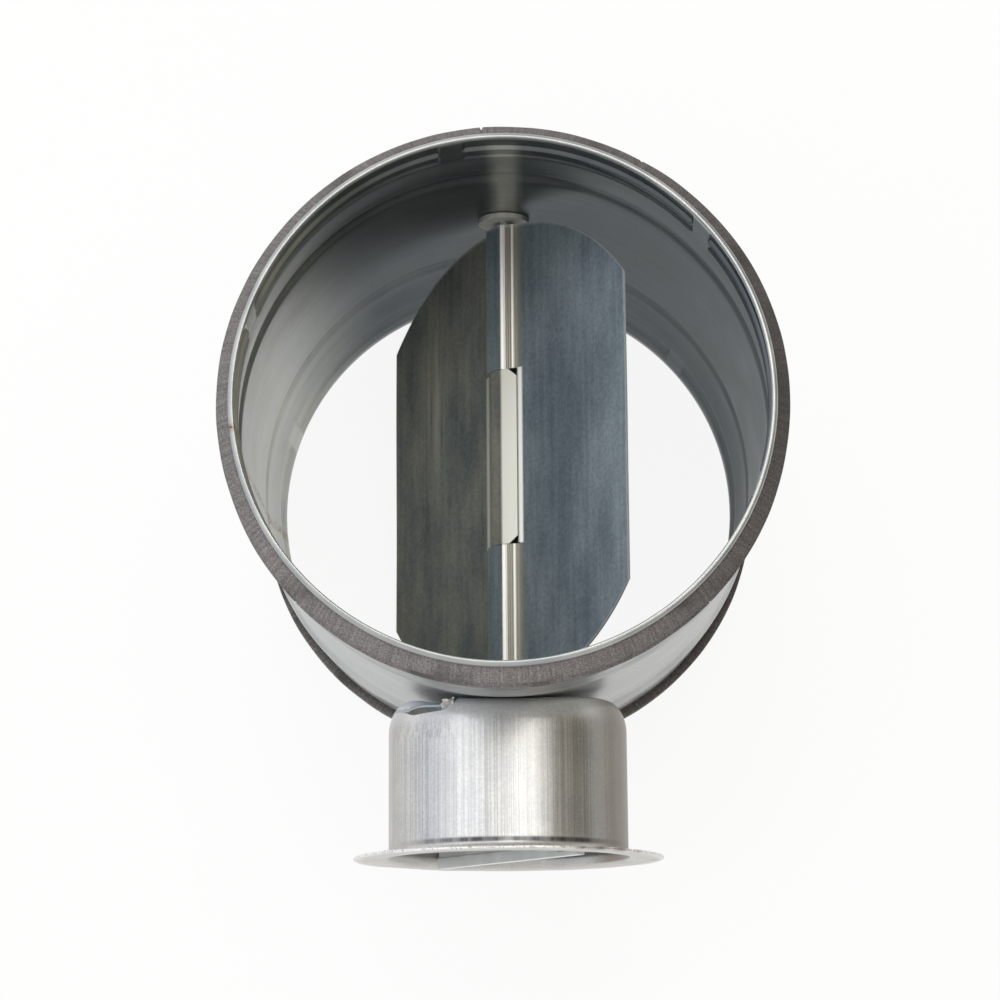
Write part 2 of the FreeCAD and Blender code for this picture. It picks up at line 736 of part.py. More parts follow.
def handle():
    fin = body("handle")
    edge = "cup_face + handle_proud"
    blank = outline(fin, "leaf_outline", "XZ_Plane", [
        ("-handle_half_width", "handle_start"),
        ("handle_half_width", "handle_start"),
        ("handle_half_width", edge),
        ("-handle_half_width", edge),
    ])
    pad(fin, "leaves", blank, "handle_sheet", midplane=True)
    doc.recompute()
    half, start = fin.Shape.BoundBox.XMax, fin.Shape.BoundBox.ZMin
    corners = [straight_edge(fin.Shape, Y_AXIS, (side * half, 0, start)) for side in (1, -1)]
    rounded(fin, "inner_corners", corners[0] + corners[1], "handle_corner")
    hem = outline(fin, "hem_outline", "XZ_Plane", [
        ("-handle_half_width", f"{edge} - handle_hem"),
        ("handle_half_width", f"{edge} - handle_hem"),
        ("handle_half_width", edge),
        ("-handle_half_width", edge),
    ])
    pad(fin, "hem", hem, "handle_hem_sheet", midplane=True)
    barrel = lift(circle(fin, "barrel_outline", "XY_Plane", "handle_barrel"), "handle_start")
    pad(fin, "barrel", barrel, "shaft_end - handle_start")
    bore = lift(circle(fin, "bore_outline", "XY_Plane", "shaft_radius + drive_gap"), "handle_start")
    pocket(fin, "bore", bore, "shaft_end - handle_start + stack_gap", away=True)
    low = f"{edge} - handle_slot_depth"
    slot = outline(fin, "slot_outline", "XZ_Plane", [
        ("handle_slot_place - handle_slot_length / 2", f"{low} - handle_slot_width"),
        ("handle_slot_place + handle_slot_length / 2", f"{low} - handle_slot_width"),
        ("handle_slot_place + handle_slot_length / 2", low),
        ("handle_slot_place - handle_slot_length / 2", low),
    ])
    pocket(fin, "slot", slot, "2 * handle_hem_sheet", midplane=True)
    for number, (x, y) in enumerate(RIVET_SPOTS, 1):
        spot = circle(fin, f"rivet_spot_{number}", "XZ_Plane", "handle_rivet_radius + stack_gap", (x, y))
        pocket(fin, f"rivet_hole_{number}", spot, "2 * handle_sheet", midplane=True)
    on_shaft(fin, turning=True)
    return keep(fin, "handle")


def handle_rivets():
    pieces = []
    grip = "(handle_sheet / 2 + stack_gap)"
    for number, (x, y) in enumerate(RIVET_SPOTS, 1):
        piece = rivet(f"handle_rivet_{number}", "-" + grip, grip, "handle_rivet_radius", "handle_rivet_head",
                      "handle_rivet_height")
        place(piece, f"vector({x}; 0; {y})", "rotation(vector(1; 0; 0); 90)")
        pieces.append(piece)
    item = group("handle_rivets", pieces)
    on_shaft(item, turning=True)
    return item


# Blade: two equal halves of sheet whose tabs pass the shaft on alternate sides
TAB_LEVEL = "(shaft_radius + bearing_gap + blade_sheet / 2)"
RAMP_RUN = "(blade_bend - tab_ridge)"
RAMP = f"sqrt({RAMP_RUN} ^ 2 + {TAB_LEVEL} ^ 2)"
MITRE = f"(blade_sheet / 2 * ({RAMP} - {RAMP_RUN}) / {TAB_LEVEL})"


def tab_corners(side):
    """Edge profile of a half: the sheet ramps over the shaft, +1 in front of it, -1 behind it."""
    near = "(shaft_radius + bearing_gap)"
    far = near + " + blade_sheet"
    if side > 0:
        wrap = [("-tab_length", near), ("-tab_length", far)]
    else:
        run = f"(tab_ridge + wrap_length * {RAMP_RUN} / {RAMP})"
        level = f"({TAB_LEVEL} - wrap_length * {TAB_LEVEL} / {RAMP})"
        lean = f"(blade_sheet / 2 * {TAB_LEVEL} / {RAMP})"
        rise = f"(blade_sheet / 2 * {RAMP_RUN} / {RAMP})"
        wrap = [
            (f"-(tab_ridge - {MITRE})", near),
            (f"-({run} - {lean})", f"{level} - {rise}"),
            (f"-({run} + {lean})", f"{level} + {rise}"),
            (f"-(tab_ridge + {MITRE})", far),
        ]
    corners = [
        ("blade_half_width", "-blade_sheet / 2"),
        (f"blade_bend - {MITRE}", "-blade_sheet / 2"),
        (f"tab_ridge - {MITRE}", near),
        *wrap,
        (f"tab_ridge + {MITRE}", far),
        (f"blade_bend + {MITRE}", "blade_sheet / 2"),
        ("blade_half_width", "blade_sheet / 2"),
    ]
    return [(u, n if side > 0 else f"-({n})") for u, n in corners]


def round_tab(half, name, side):
    """Bend radii of one tab: at its ridges, and where it leaves the flat sheet."""
    near = size("shaft_radius") + size("bearing_gap")
    gauge, bend, ridge = size("blade_sheet"), size("blade_bend"), size("tab_ridge")
    far, level = near + gauge, near + gauge / 2
    mitre = gauge / 2 * (math.hypot(bend - ridge, level) - (bend - ridge)) / level
    ridges = (1,) if side > 0 else (1, -1)
    spots = {
        "inner": ([(k * (ridge - mitre), side * near) for k in ridges], "ridge_radius"),
        "outer": ([(k * (ridge + mitre), side * far) for k in ridges], "ridge_radius + blade_sheet"),
        "valley": ([(bend + mitre, side * gauge / 2)], "bend_radius"),
        "hump": ([(bend - mitre, -side * gauge / 2)], "bend_radius + blade_sheet"),
    }
    for kind, (places, radius) in spots.items():
        edges = []
        for u, n in places:
            edges += straight_edge(half.Shape, Z_AXIS, (u, n, None))
        rounded(half, f"{name}_{kind}", edges, radius)


def blade_half(label, turn):
    half = body(label)
    profile = outline(half, "outer_tab_outline", "XY_Plane", tab_corners(1))
    pad(half, "outer_tabs", profile, "2 * blade_radius", midplane=True)
    gap_half = "(tab_split + tab_slit / 2)"
    gap = outline(half, "gap_outline", "XZ_Plane", [
        ("-2 * tab_length", "-" + gap_half),
        ("slit_end", "-" + gap_half),
        ("slit_end", gap_half),
        ("-2 * tab_length", gap_half),
    ])
    pocket(half, "middle_gap", gap, "4 * blade_bend", midplane=True)
    doc.recompute()
    round_tab(half, "outer", 1)
    corners = tab_corners(-1)
    corners[0] = ("slit_end + tab_slit", corners[0][1])
    corners[-1] = ("slit_end + tab_slit", corners[-1][1])
    middle = outline(half, "middle_tab_outline", "XY_Plane", corners)
    pad(half, "middle_tab", middle, "2 * tab_split - tab_slit", midplane=True)
    doc.recompute()
    round_tab(half, "middle", -1)
    run = "(tab_ridge + wrap_length)"
    for number, side in enumerate(("", "-"), 1):
        clip = outline(half, f"clip_outline_{number}", "XZ_Plane", [
            (f"-{run} + tab_corner", f"{side}(tab_split + tab_slit)"),
            (f"-{run} + tab_corner", f"{side}tab_split"),
            ("-" + run, f"{side}(tab_split - tab_corner)"),
            (f"-{run} - tab_corner", f"{side}(tab_split - tab_corner)"),
            (f"-{run} - tab_corner", f"{side}(tab_split + tab_slit)"),
        ])
        pocket(half, f"clip_{number}", clip, "2 * blade_bend", midplane=True)
    disc = circle(half, "disc_outline", "XZ_Plane", "blade_radius")
    wide = 2 * size("spigot_radius")
    rim = disc.addGeometry(Part.Circle(FreeCAD.Vector(0, 0, 0), FreeCAD.Vector(0, 0, 1), wide))
    disc.addConstraint(Sketcher.Constraint("Coincident", 0, 3, rim, 3))
    index = disc.addConstraint(Sketcher.Constraint("Radius", rim, wide))
    disc.setExpression(f"Constraints[{index}]", sheet_formula("2 * blade_radius"))
    pocket(half, "disc_trim", disc, "4 * blade_bend", midplane=True)
    place(half, MIDDLE, TO_CUP + AT_REST + turn)
    return keep(half, label)


def raise_along_shaft(item, height, turning=True):
    """Stand a piece drawn at the origin at a height on the shaft line."""
    return place(item, f"vector(0; -({height}); duct_length / 2)", TO_CUP + (AT_REST if turning else ""))


duct_shell()
lip_seal("rear_seal", at_front=False)
lip_seal("front_seal", at_front=True)
setting_cup()
cup_rivets()
bush("upper_bush", "upper_end", to_top=True)
bush_clip()
bush("lower_bush", "bush_end", to_top=False, seal_seat="bush_end - 2 * oring_section - stack_gap")
bearing_nut()
shaft_seal()
shaft()
blade_half("blade_near_half", "")
blade_half("blade_far_half", " * rotation(vector(0; 0; 1); 180)")
shaft_clip()
quadrant_plate()
lock_stud()
on_stud(flat_ring("lock_washer", 0, "washer_outer", "washer_sheet"), "lock_washer")
spring_washer()
wing_nut()
handle()
handle_rivets()

doc.recompute()
os.makedirs("parts", exist_ok=True)
for item in doc.Objects:
    if "Invalid" in item.State or "Error" in item.State:
        raise RuntimeError(item.Name + " did not compute")
for item in parts:
    if item.Shape.isNull() or not item.Shape.isValid():
        raise RuntimeError(item.Label + " has no valid shape")
    item.Shape.exportStep("parts/" + item.Label + ".step")
    print(item.Label, len(item.Shape.Solids), round(item.Shape.Volume, 1))
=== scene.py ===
import math
import bpy
import bmesh
from mathutils import Matrix, Vector, noise


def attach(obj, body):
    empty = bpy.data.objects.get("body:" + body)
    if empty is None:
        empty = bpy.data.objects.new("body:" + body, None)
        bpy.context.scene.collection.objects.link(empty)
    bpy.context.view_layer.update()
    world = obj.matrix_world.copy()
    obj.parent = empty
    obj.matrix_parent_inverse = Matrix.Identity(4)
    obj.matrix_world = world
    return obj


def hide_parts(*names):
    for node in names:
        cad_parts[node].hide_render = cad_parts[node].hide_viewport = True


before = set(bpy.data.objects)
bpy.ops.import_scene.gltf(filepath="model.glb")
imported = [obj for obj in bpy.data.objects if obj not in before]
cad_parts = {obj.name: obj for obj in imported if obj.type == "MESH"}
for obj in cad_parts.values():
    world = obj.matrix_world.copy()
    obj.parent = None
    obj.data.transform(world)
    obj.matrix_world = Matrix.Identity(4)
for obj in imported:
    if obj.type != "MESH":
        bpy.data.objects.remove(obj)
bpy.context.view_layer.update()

mm = 0.001
print("frame loaded")


# small helpers
def linear(hexColour):
    channels = [int(hexColour[i:i + 2], 16) / 255 for i in (1, 3, 5)]
    return [c / 12.92 if c <= 0.04045 else ((c + 0.055) / 1.055) ** 2.4 for c in channels] + [1.0]


def wire(tree, node, sources):  # a node given as a source stands for its result
    for key, source in sources.items():
        if hasattr(source, "outputs"):
            source = source.outputs[2 if source.bl_idname == "ShaderNodeMix" else 0]
        tree.links.new(source, node.inputs[key])


def addNode(tree, kind, settings=None, links=None):  # a hex string may stand for a colour
    node = tree.nodes.new(kind)
    for key, value in (settings or {}).items():
        if key == "stops":  # a colour ramp's stops: place and colour
            ramp = node.color_ramp
            while len(ramp.elements) < len(value):
                ramp.elements.new(0.5)
            for element, (place, colour) in zip(ramp.elements, value):
                element.position = place
                element.color = linear(colour)
        elif isinstance(key, int) or key in node.inputs:
            node.inputs[key].default_value = linear(value) if isinstance(value, str) else value
        else:
            setattr(node, key, value)
    wire(tree, node, links or {})
    return node


def emptyMaterial(name):
    material = bpy.data.materials.new(name)
    material.use_nodes = True
    material.node_tree.nodes.clear()
    return material, material.node_tree


def newMaterial(name, settings, *masks):  # gives the object's own coordinates and the masks too
    material, tree = emptyMaterial(name)
    shader = addNode(tree, "ShaderNodeBsdfPrincipled", settings)
    addNode(tree, "ShaderNodeOutputMaterial", links={"Surface": shader})
    place = addNode(tree, "ShaderNodeTexCoord").outputs["Object"]
    values = [addNode(tree, "ShaderNodeAttribute", {"attribute_name": mask}).outputs["Fac"] for mask in masks]
    return material, tree, shader, place, *values


def finishMesh(piece, sharp=35):
    work = bmesh.new()
    work.from_mesh(piece.data)
    bmesh.ops.remove_doubles(work, verts=work.verts, dist=0.000005)
    bmesh.ops.recalc_face_normals(work, faces=work.faces)
    work.to_mesh(piece.data)
    work.free()
    piece.data.shade_smooth()
    piece.data.set_sharp_from_angle(angle=math.radians(sharp))


def meshObject(name, points, faces, sharp=35):
    mesh = bpy.data.meshes.new(name)
    mesh.from_pydata(points, [], faces)
    piece = bpy.data.objects.new(name, mesh)
    bpy.context.collection.objects.link(piece)
    finishMesh(piece, sharp)
    return piece


def applyModifiers(piece):
    bpy.context.view_layer.update()
    mesh = bpy.data.meshes.new_from_object(piece.evaluated_get(bpy.context.evaluated_depsgraph_get()))
    piece.modifiers.clear()
    old = piece.data
    piece.data = mesh
    bpy.data.meshes.remove(old)


def cutAway(piece, cutters, sharp=35):
    for cutter in cutters:
        modifier = piece.modifiers.new("cut", "BOOLEAN")
        modifier.operation = "DIFFERENCE"
        modifier.solver = "EXACT"
        modifier.object = cutter
    applyModifiers(piece)
    for cutter in cutters:
        bpy.data.objects.remove(cutter)
    finishMesh(piece, sharp)


def mark(piece, name, valueAt):  # a value kept on each point, from its place in millimetres
    values = [valueAt(*(vertex.co / mm)) for vertex in piece.data.vertices]
    piece.data.attributes.new(name, "FLOAT", "POINT").data.foreach_set("value", values)


def smooth(x):
    x = min(max(x, 0.0), 1.0)
    return x * x * (3 - 2 * x)


def rise(x, start, end):  # 0 up to start, 1 from end on
    return smooth((x - start) / (end - start))


def band(x, start, full, fall, end):  # 1 between full and fall, 0 outside start and end
    return rise(x, start, full) * (1 - rise(x, fall, end))


def gridFaces(rows, columns, start=0):  # the faces of a grid whose points come row by row
    corners = [start + i * columns + k for i in range(rows - 1) for k in range(columns - 1)]
    return [(a, a + 1, a + columns + 1, a + columns) for a in corners]


def thicken(piece, sheet, sharp, even=False):  # a surface becomes a sheet, half to each side
    modifier = piece.modifiers.new("sheet", "SOLIDIFY")
    modifier.thickness = sheet * mm
    modifier.offset = 0
    modifier.use_even_offset = even
    applyModifiers(piece)
    finishMesh(piece, sharp)


def ringMesh(name, loops, toPoint, sharp=35):
    points, faces = [], []
    count = len(loops[0][1])
    for angle, loop in loops:
        points += [toPoint(angle, radius, along) for radius, along in loop]
    for i in range(len(loops)):
        j = (i + 1) % len(loops)
        for k in range(count):
            m = (k + 1) % count
            faces.append((i * count + k, i * count + m, j * count + m, j * count + k))
    return meshObject(name, points, faces, sharp)


def aroundDuct(angle, radius, along):  # the duct axis is Z
    a = math.radians(angle)
    return (radius * math.cos(a) * mm, radius * math.sin(a) * mm, along * mm)


def extruded(name, ring, ends):  # a straight solid: ring gives its corners at one end
    count = len(ring(ends[0]))
    faces = [tuple(range(count)), tuple(range(count, 2 * count))]
    faces += [(i, (i + 1) % count, (i + 1) % count + count, i + count) for i in range(count)]
    return meshObject(name, [tuple(c * mm for c in point) for end in ends for point in ring(end)], faces)


def postAlongY(name, radius, x, z, ends, sides=64):
    turns = [2 * math.pi * i / sides for i in range(sides)]
    return extruded(name, lambda y: [(x + radius * math.cos(a), y, z + radius * math.sin(a)) for a in turns], ends)


def roundPath(corners, step):
    # corners are (u, n, radius); the runs between them are divided into steps
    path = [Vector(corners[0][:2])]
    for before, here, after in zip(corners, corners[1:], corners[2:]):
        spot = Vector(here[:2])
        back, on = (Vector(before[:2]) - spot).normalized(), (Vector(after[:2]) - spot).normalized()
        turn = math.pi - back.angle(on)
        reach = here[2] * math.tan(turn / 2)
        centre = spot + (back + on).normalized() * math.hypot(here[2], reach)
        first, last = spot + back * reach, spot + on * reach
        count = max(4, int(here[2] * turn / step))
        addRun(path, first, step)
        spoke = first - centre
        sign = 1 if spoke.cross(last - centre) > 0 else -1
        for i in range(1, count + 1):
            a = sign * turn * i / count
            path.append(centre + Vector((spoke.x * math.cos(a) - spoke.y * math.sin(a),
                                         spoke.x * math.sin(a) + spoke.y * math.cos(a))))
    addRun(path, Vector(corners[-1][:2]), step)
    return path


def addRun(path, end, step):
    start = path[-1]
    count = max(1, int((end - start).length / step))
    path += [start.lerp(end, i / count) for i in range(1, count + 1)]


# holes that duct and cup share, for the shaft, the cup's rivets and the lock stud
fixing = {"shaftHole": 6.1, "rivetPlace": 24, "rivetHole": 2.05, "studPlace": 22 * math.sqrt(0.5), "studHole": 3.1}

# duct shell: seam-welded tube, alike at both ends; angles from +X, lengths in mm
duct = {"length": 165, "tube": 79.4, "sheet": 0.6, "seat": 77.6, "stepStart": 11.9, "stepRun": 1.7,
        "bead": 42, "beadHeight": 1.2, "beadWidth": 10.0,
        "gaps": 6, "firstGap": -19, "gapHalf": 2.3, "gapSide": 0.9,
        "seam": 186.8, "seamRise": 0.22, "seamHalf": 0.45, "seamRough": (0.7, 0.6), "seamGrain": 0.9,
        "seamInside": 0.6, "turns": 300,
        "innerFrom": 36.5, "innerShift": 0.42,  # the bead's inside is a little narrower than its outside
        "hemEnd": 3.6, "hemInside": 76.51, "pressedEnd": 36, "pressedInside": 77.4, "lipFade": (0.8, 3.3),
        # the inside's painted shade lightens towards the lower left and on a crown strip of painted reflection,
        # below
        "weldLine": -9.2, "weldHalf": (0.7, 2.0), "lowerLeft": (-0.75, -0.66), "insideShadeFrom": (-12, 40),
        "paintedReflectionMiddle": 0.5, "paintedReflectionHalf": (1.5, 6.5), "paintedReflectionSpan": (84, 88, 150, 162), "paintedReflectionShare": 0.9}
middle = duct["length"] / 2
# radius and distance from the end: the rolled hem, outside and in
hemOutside = [(77.62, 3.4), (77.75, 2.8), (77.86, 2.2), (77.9, 1.7), (77.88, 1.1), (77.74, 0.6), (77.45, 0.25),
              (77.05, 0.06), (76.6, 0.0), (76.3, 0.1), (76.15, 0.45), (76.12, 0.9)]
# inner wall behind it: distance from the end, radius where the rollers pressed it, radius between them
endWall = [(1.4, 76.14, 76.1), (2.0, 76.25, 76.1), (2.8, 76.5, 76.1), (3.8, 76.8, 76.12), (4.8, 76.95, 76.16),
           (6.2, 77.0, 76.24), (7.6, 77.03, 76.3), (8.4, 77.04, 76.34), (8.65, 76.98, 76.35), (8.8, 76.8, 76.36),
           (9.1, 76.38, 76.38), (9.4, 75.98, 76.4), (9.55, 75.86, 76.4), (9.8, 75.84, 76.42), (10.4, 76.1, 76.46),
           (11.2, 76.55, 76.54), (12.0, 76.9, 76.62),
           (12.8, 77.05, 76.7), (14.8, 77.2, 76.84), (16.6, 77.38, 76.96), (17.2, 77.4, 77.0), (17.5, 77.3, 77.02),
           (17.8, 77.02, 77.0), (18.1, 76.78, 77.0), (18.5, 76.72, 77.0), (19.4, 76.8, 77.05), (21.0, 77.1, 77.2),
           (23.0, 77.45, 77.5), (28.0, 78.15, 78.15), (33.0, 78.65, 78.65), (36.4, 78.8, 78.8)]
wallStations = [4.2, 6, 8, 10, 11.2, 11.7, 12.0, 12.3, 12.6, 12.9, 13.2, 13.5, 13.9, 14.5, 17, 24, 32, 36.4,
                37.2, 38, 38.8, 39.6, 40.4, 41.2, 42, 42.8, 43.6, 44.4, 45.2, 46, 46.8, 47.6, 52, 60, 70, 82.5]


def gapAt(angle):
    step = 360 / duct["gaps"]
    off = (angle - duct["firstGap"] + step / 2) % step - step / 2
    return 1 - smooth((abs(off) - duct["gapHalf"]) / duct["gapSide"])


def wallRadius(d):
    radius = duct["seat"] + (duct["tube"] - duct["seat"]) * smooth((d - duct["stepStart"]) / duct["stepRun"])
    return radius + duct["beadHeight"] * smooth(1 - abs(d - duct["bead"]) / (duct["beadWidth"] / 2))


def ductLoop(angle):
    gap = gapAt(angle)
    off = (angle - duct["seam"] + 180) % 360 - 180
    weld = duct["seamRise"] * math.exp(-(off / duct["seamHalf"]) ** 2)
    low, more = duct["seamRough"]
    rough = {d: weld * (low + more * noise.noise((d * duct["seamGrain"], 3.1, 0))) for d in wallStations}
    outer = [(wallRadius(d) + rough[d], d) for d in wallStations]
    inner = [(pressed + (plain - pressed) * gap - weld * duct["seamInside"], d) for d, pressed, plain in endWall]
    inner += [(wallRadius(d - duct["innerShift"]) - duct["sheet"] - rough[d], d) for d in wallStations
              if d > duct["innerFrom"]]
    full = duct["length"]
    loop = [(r, full - d) for r, d in reversed(outer)] + [(r, full - d) for r, d in hemOutside + inner]
    loop += [(r, d) for r, d in reversed(inner[:-1])] + [(r, d) for r, d in reversed(hemOutside)]
    return loop + [(r, d) for r, d in outer[:-1]]


def angles(turns, more):  # even steps round the part, and more where its form changes fast
    return sorted({round(360 * i / turns, 3) for i in range(turns)} | {round(angle % 360, 3) for angle in more})


def ductAngles():
    gapSides = [duct["firstGap"] + k * 360 / duct["gaps"] + side * (duct["gapHalf"] + part)
                for k in range(duct["gaps"]) for side in (-1, 1)
                for part in (-0.1, 0.1, 0.25, 0.4, 0.5, 0.65, 0.8, 0.95)]
    seamSides = [duct["seam"] + part for part in (-1.1, -0.7, -0.4, -0.2, 0, 0.2, 0.4, 0.7, 1.1)]
    return angles(duct["turns"], gapSides + seamSides)


def insideAt(x, y, z):  # 1 on the faces that look at the duct axis, which take the inside's painted shade
    away, d = math.hypot(x, y), min(z, duct["length"] - z)
    limit = duct["hemInside"] if d < duct["hemEnd"] else wallRadius(d) - duct["sheet"] / 2
    pressed = d < duct["pressedEnd"] and away < duct["pressedInside"]
    return rise(d, *duct["lipFade"]) if away < limit or pressed else 0


def weldAt(x, y, z):  # 1 on the butt weld's line, 0 by 2 mm beside it
    return (x < 0) * (1 - rise(abs(y - duct["weldLine"]), *duct["weldHalf"]))


def insideShadeAt(x, y, z):  # painted shade: 1 on all but its lower left, and less on a strip on the crown, a painted reflection
    strip = (y > 0) * (1 - rise(abs(x - duct["paintedReflectionMiddle"]), *duct["paintedReflectionHalf"])) * band(z, *duct["paintedReflectionSpan"])
    p, q = duct["lowerLeft"]
    return (1 - rise(p * x + q * y, *duct["insideShadeFrom"])) * (1 - duct["paintedReflectionShare"] * strip)


def rivetCutters(ends):  # for the holes that the cup and the duct share
    return [postAlongY("rivetHole", fixing["rivetHole"], 0, middle + side * fixing["rivetPlace"], ends, 32)
            for side in (-1, 1)]


ductShell = ringMesh("ductShell", [(a, ductLoop(a)) for a in ductAngles()], aroundDuct, 50)
shaftCutter = postAlongY("shaftHole", fixing["shaftHole"], 0, middle, (-90, 90))
cutAway(ductShell, [shaftCutter, *rivetCutters((-90, -60))], 50)
mark(ductShell, "inside", insideAt)
mark(ductShell, "dull", insideShadeAt)
mark(ductShell, "weld", weldAt)
print("duct shell", len(ductShell.data.polygons))


# lip seals: moulded rubber, butt-jointed at these angles, each joint open to its depth
seal = {"joints": {94: 0.9, -45: 0.35, -136: 0.4, 60: 0.3}, "jointHalf": 0.35, "turns": 240,
        "wave": 0.1, "waves": 9, "wavesAlong": 0.2, "free": (78.6, 81.6), "tip": 81.9, "tipWear": 0.12}
sealSection = [(77.4, 2.5), (77.95, 2.42), (78.6, 2.9), (80.2, 4.55), (81.5, 6.05), (81.86, 6.5), (82.0, 6.9),
               (81.98, 7.4), (81.7, 7.66), (81.2, 7.55), (80.2, 6.9), (79.1, 6.3), (78.7, 6.3), (78.5, 6.7),
               (78.5, 7.5), (79.2, 8.6), (80.6, 10.6), (81.8, 12.2), (82.25, 12.7), (82.4, 13.05), (82.36, 13.45),
               (82.1, 13.68), (81.5, 13.6), (80.3, 12.9), (79.2, 12.2), (78.7, 12.05), (78.3, 12.0), (77.5, 11.5),
               (77.4, 9), (77.4, 6)]


def sealLoop(angle, flip):
    a, notch = math.radians(angle), 0
    for place, depth in seal["joints"].items():
        off = (angle - place + 180) % 360 - 180
        notch = max(notch, depth * (1 - smooth(abs(off) / seal["jointHalf"])))
    loop = []
    p, q = math.cos(a) * seal["waves"], math.sin(a) * seal["waves"]
    for r, d in sealSection:
        wave = seal["wave"] * noise.noise((p, q, d * seal["wavesAlong"]))
        r += (wave - notch) * rise(r, *seal["free"]) - seal["tipWear"] * (r > seal["tip"])
        loop.append((r, duct["length"] - d if flip else d))
    return loop


def sealRing(name, flip):
    joints = [place + part for place in seal["joints"] for part in (-0.35, -0.2, -0.1, 0, 0.1, 0.2, 0.35)]
    return ringMesh(name, [(a, sealLoop(a, flip)) for a in angles(seal["turns"], joints)], aroundDuct, 50)


rearSeal, frontSeal = sealRing("rearSeal", False), sealRing("frontSeal", True)
print("seals")


# setting cup: deep-drawn, cut and pressed in at one shoulder; heights are down the shaft line from the duct axis
cup = {"floor": 79.5, "sheet": 0.8, "radius": 36.4, "shoulder": 7.0, "face": 125.0, "flange": 47.1, "bend": 3.3,
       "edge": 0.25, "floorRings": (14, 22), "flangeRing": 44, "wallSteps": 14, "turns": 320,
       "saddle": 2.5, "saddleWidth": 700, "saddleFrom": (23, 28), "saddleDepth": 7.5,
       "press": 0.022, "pressAt": 136, "pressHalf": (10, 30), "pressFoot": (86, 92), "pressFrom": (30, 34),
       "flat": 41, "warp": 0.05, "warpScale": 0.05, "wallSpan": (83.3, 87.7, 119.6, 124.0),
       "shadeRight": (22, 32), "shadeLeft": (27, 33), "shadeLeftShare": 0.3, "shadeWithin": 37, "rim": (46.4, 46.8)}


def arc(centre, radius, start, end, steps=9):
    return [(centre[0] + radius * math.cos(math.radians(start + (end - start) * i / steps)),
             centre[1] + radius * math.sin(math.radians(start + (end - start) * i / steps)))
            for i in range(steps + 1)]


def cupSection():
    floor, t, face, radius, flange = [cup[key] for key in ("floor", "sheet", "face", "radius", "flange")]
    ring, edge, rings = cup["flangeRing"], cup["edge"], (fixing["shaftHole"], *cup["floorRings"])
    turn = (radius - cup["shoulder"], floor + cup["shoulder"])
    lip = (radius - t + cup["bend"], face - cup["bend"])
    wall = [turn[1] + (lip[1] - turn[1]) * i / cup["wallSteps"] for i in range(1, cup["wallSteps"])]
    outside = [(r, floor) for r in rings] + arc(turn, cup["shoulder"], -90, 0)
    outside += [(radius, s) for s in wall] + arc(lip, cup["bend"] - t, 180, 90, 6)
    rim = [(ring, face - t), (flange - edge, face - t), (flange, face - t + edge), (flange, face - edge),
           (flange - edge, face), (ring, face)]
    inside = arc(lip, cup["bend"], 90, 180, 8) + [(radius - t, s) for s in reversed(wall)]
    inside += arc(turn, cup["shoulder"] - t, 0, -90) + [(r, floor + t) for r in reversed(rings)]
    return outside + rim + inside


def saddleRise(x, z, s):  # the floor is dished to the duct: its sides stand nearer the tube
    edge = rise(math.hypot(x, z), *cup["saddleFrom"]) * (1 - smooth((s - cup["floor"]) / cup["saddleDepth"]))
    return cup["saddle"] * math.tanh(x * x / cup["saddleWidth"]) * edge


def aroundCup(angle, radius, along):
    a = math.radians(angle)
    # the wall bulges in slightly under the pierced window
    press = (1 - rise(abs(angle - cup["pressAt"]), *cup["pressHalf"])) * (1 - rise(along, *cup["pressFoot"]))
    inward = 1 - cup["press"] * press * rise(radius, *cup["pressFrom"])
    x, z = radius * math.cos(a) * inward, radius * math.sin(a) * inward
    along -= saddleRise(x, z, along)
    if radius > cup["flat"]:  # the flange isn't quite flat
        warp = noise.noise((x * cup["warpScale"], z * cup["warpScale"], 5))
        along -= cup["warp"] * abs(warp) * (radius - cup["flat"])
    return (x * mm, -along * mm, (middle + z) * mm)


# outline of the pierced window: x and height
windowEdge = [(-31.5, 75), (-14.2, 75), (-14.3, 78.2), (-14.7, 79.6), (-15.6, 81.0), (-17.2, 82.2), (-19.6, 82.9),
              (-22.5, 83.1), (-25.5, 83.2), (-27.6, 83.3), (-28.6, 83.1), (-29.8, 82.4), (-31.5, 81.4)]
windowSpan = (7.5, 38)  # how far in front of the shaft line it begins and ends
cupFloorSpan = (-85, -75)
settingCup = ringMesh("settingCup", [(360 * i / cup["turns"], cupSection()) for i in range(cup["turns"])],
                      aroundCup, 40)
studAt = fixing["studPlace"]
studCutter = postAlongY("studHole", fixing["studHole"], studAt, middle - studAt, cupFloorSpan, 32)
windowCutter = extruded("windowCut", lambda z: [(x, -s, middle + z) for x, s in windowEdge], windowSpan)
cutAway(settingCup, [studCutter, *rivetCutters(cupFloorSpan), windowCutter], 40)


def cupTop(x, z):  # height of the drawn form's outer face at a place on its floor
    r = min(math.hypot(x, z), cup["radius"] - 0.02)
    turn = cup["radius"] - cup["shoulder"]
    s = cup["floor"] + (cup["shoulder"] - math.sqrt(cup["shoulder"] ** 2 - (r - turn) ** 2) if r > turn else 0)
    return s - saddleRise(x, z, s)


# the strip of floor inside the window, with its front edge as x and distance before the shaft line
tongueSize = {"left": -33.4, "right": -14.6, "back": 4, "steps": (48, 24), "sheet": 0.64, "gap": 0.34,
              "sink": 1.5, "sinkFrom": (-29.5, -20.5), "sinkDepth": (5, 14), "cutEdge": 0.15,
              "sunkFrom": (-30.5, -24.5)}
roofEdge = [(-33.4, 10.5), (-31.5, 16.0), (-29.8, 19.0), (-27.7, 21.2), (-25.0, 23.2), (-22.0, 25.0), (-19.0, 26.9),
            (-16.5, 28.3), (-14.0, 29.2)]


def roofFront(x):
    for (x0, z0), (x1, z1) in zip(roofEdge, roofEdge[1:]):
        if x <= x1:
            return z0 + (z1 - z0) * (x - x0) / (x1 - x0)
    return roofEdge[-1][1]


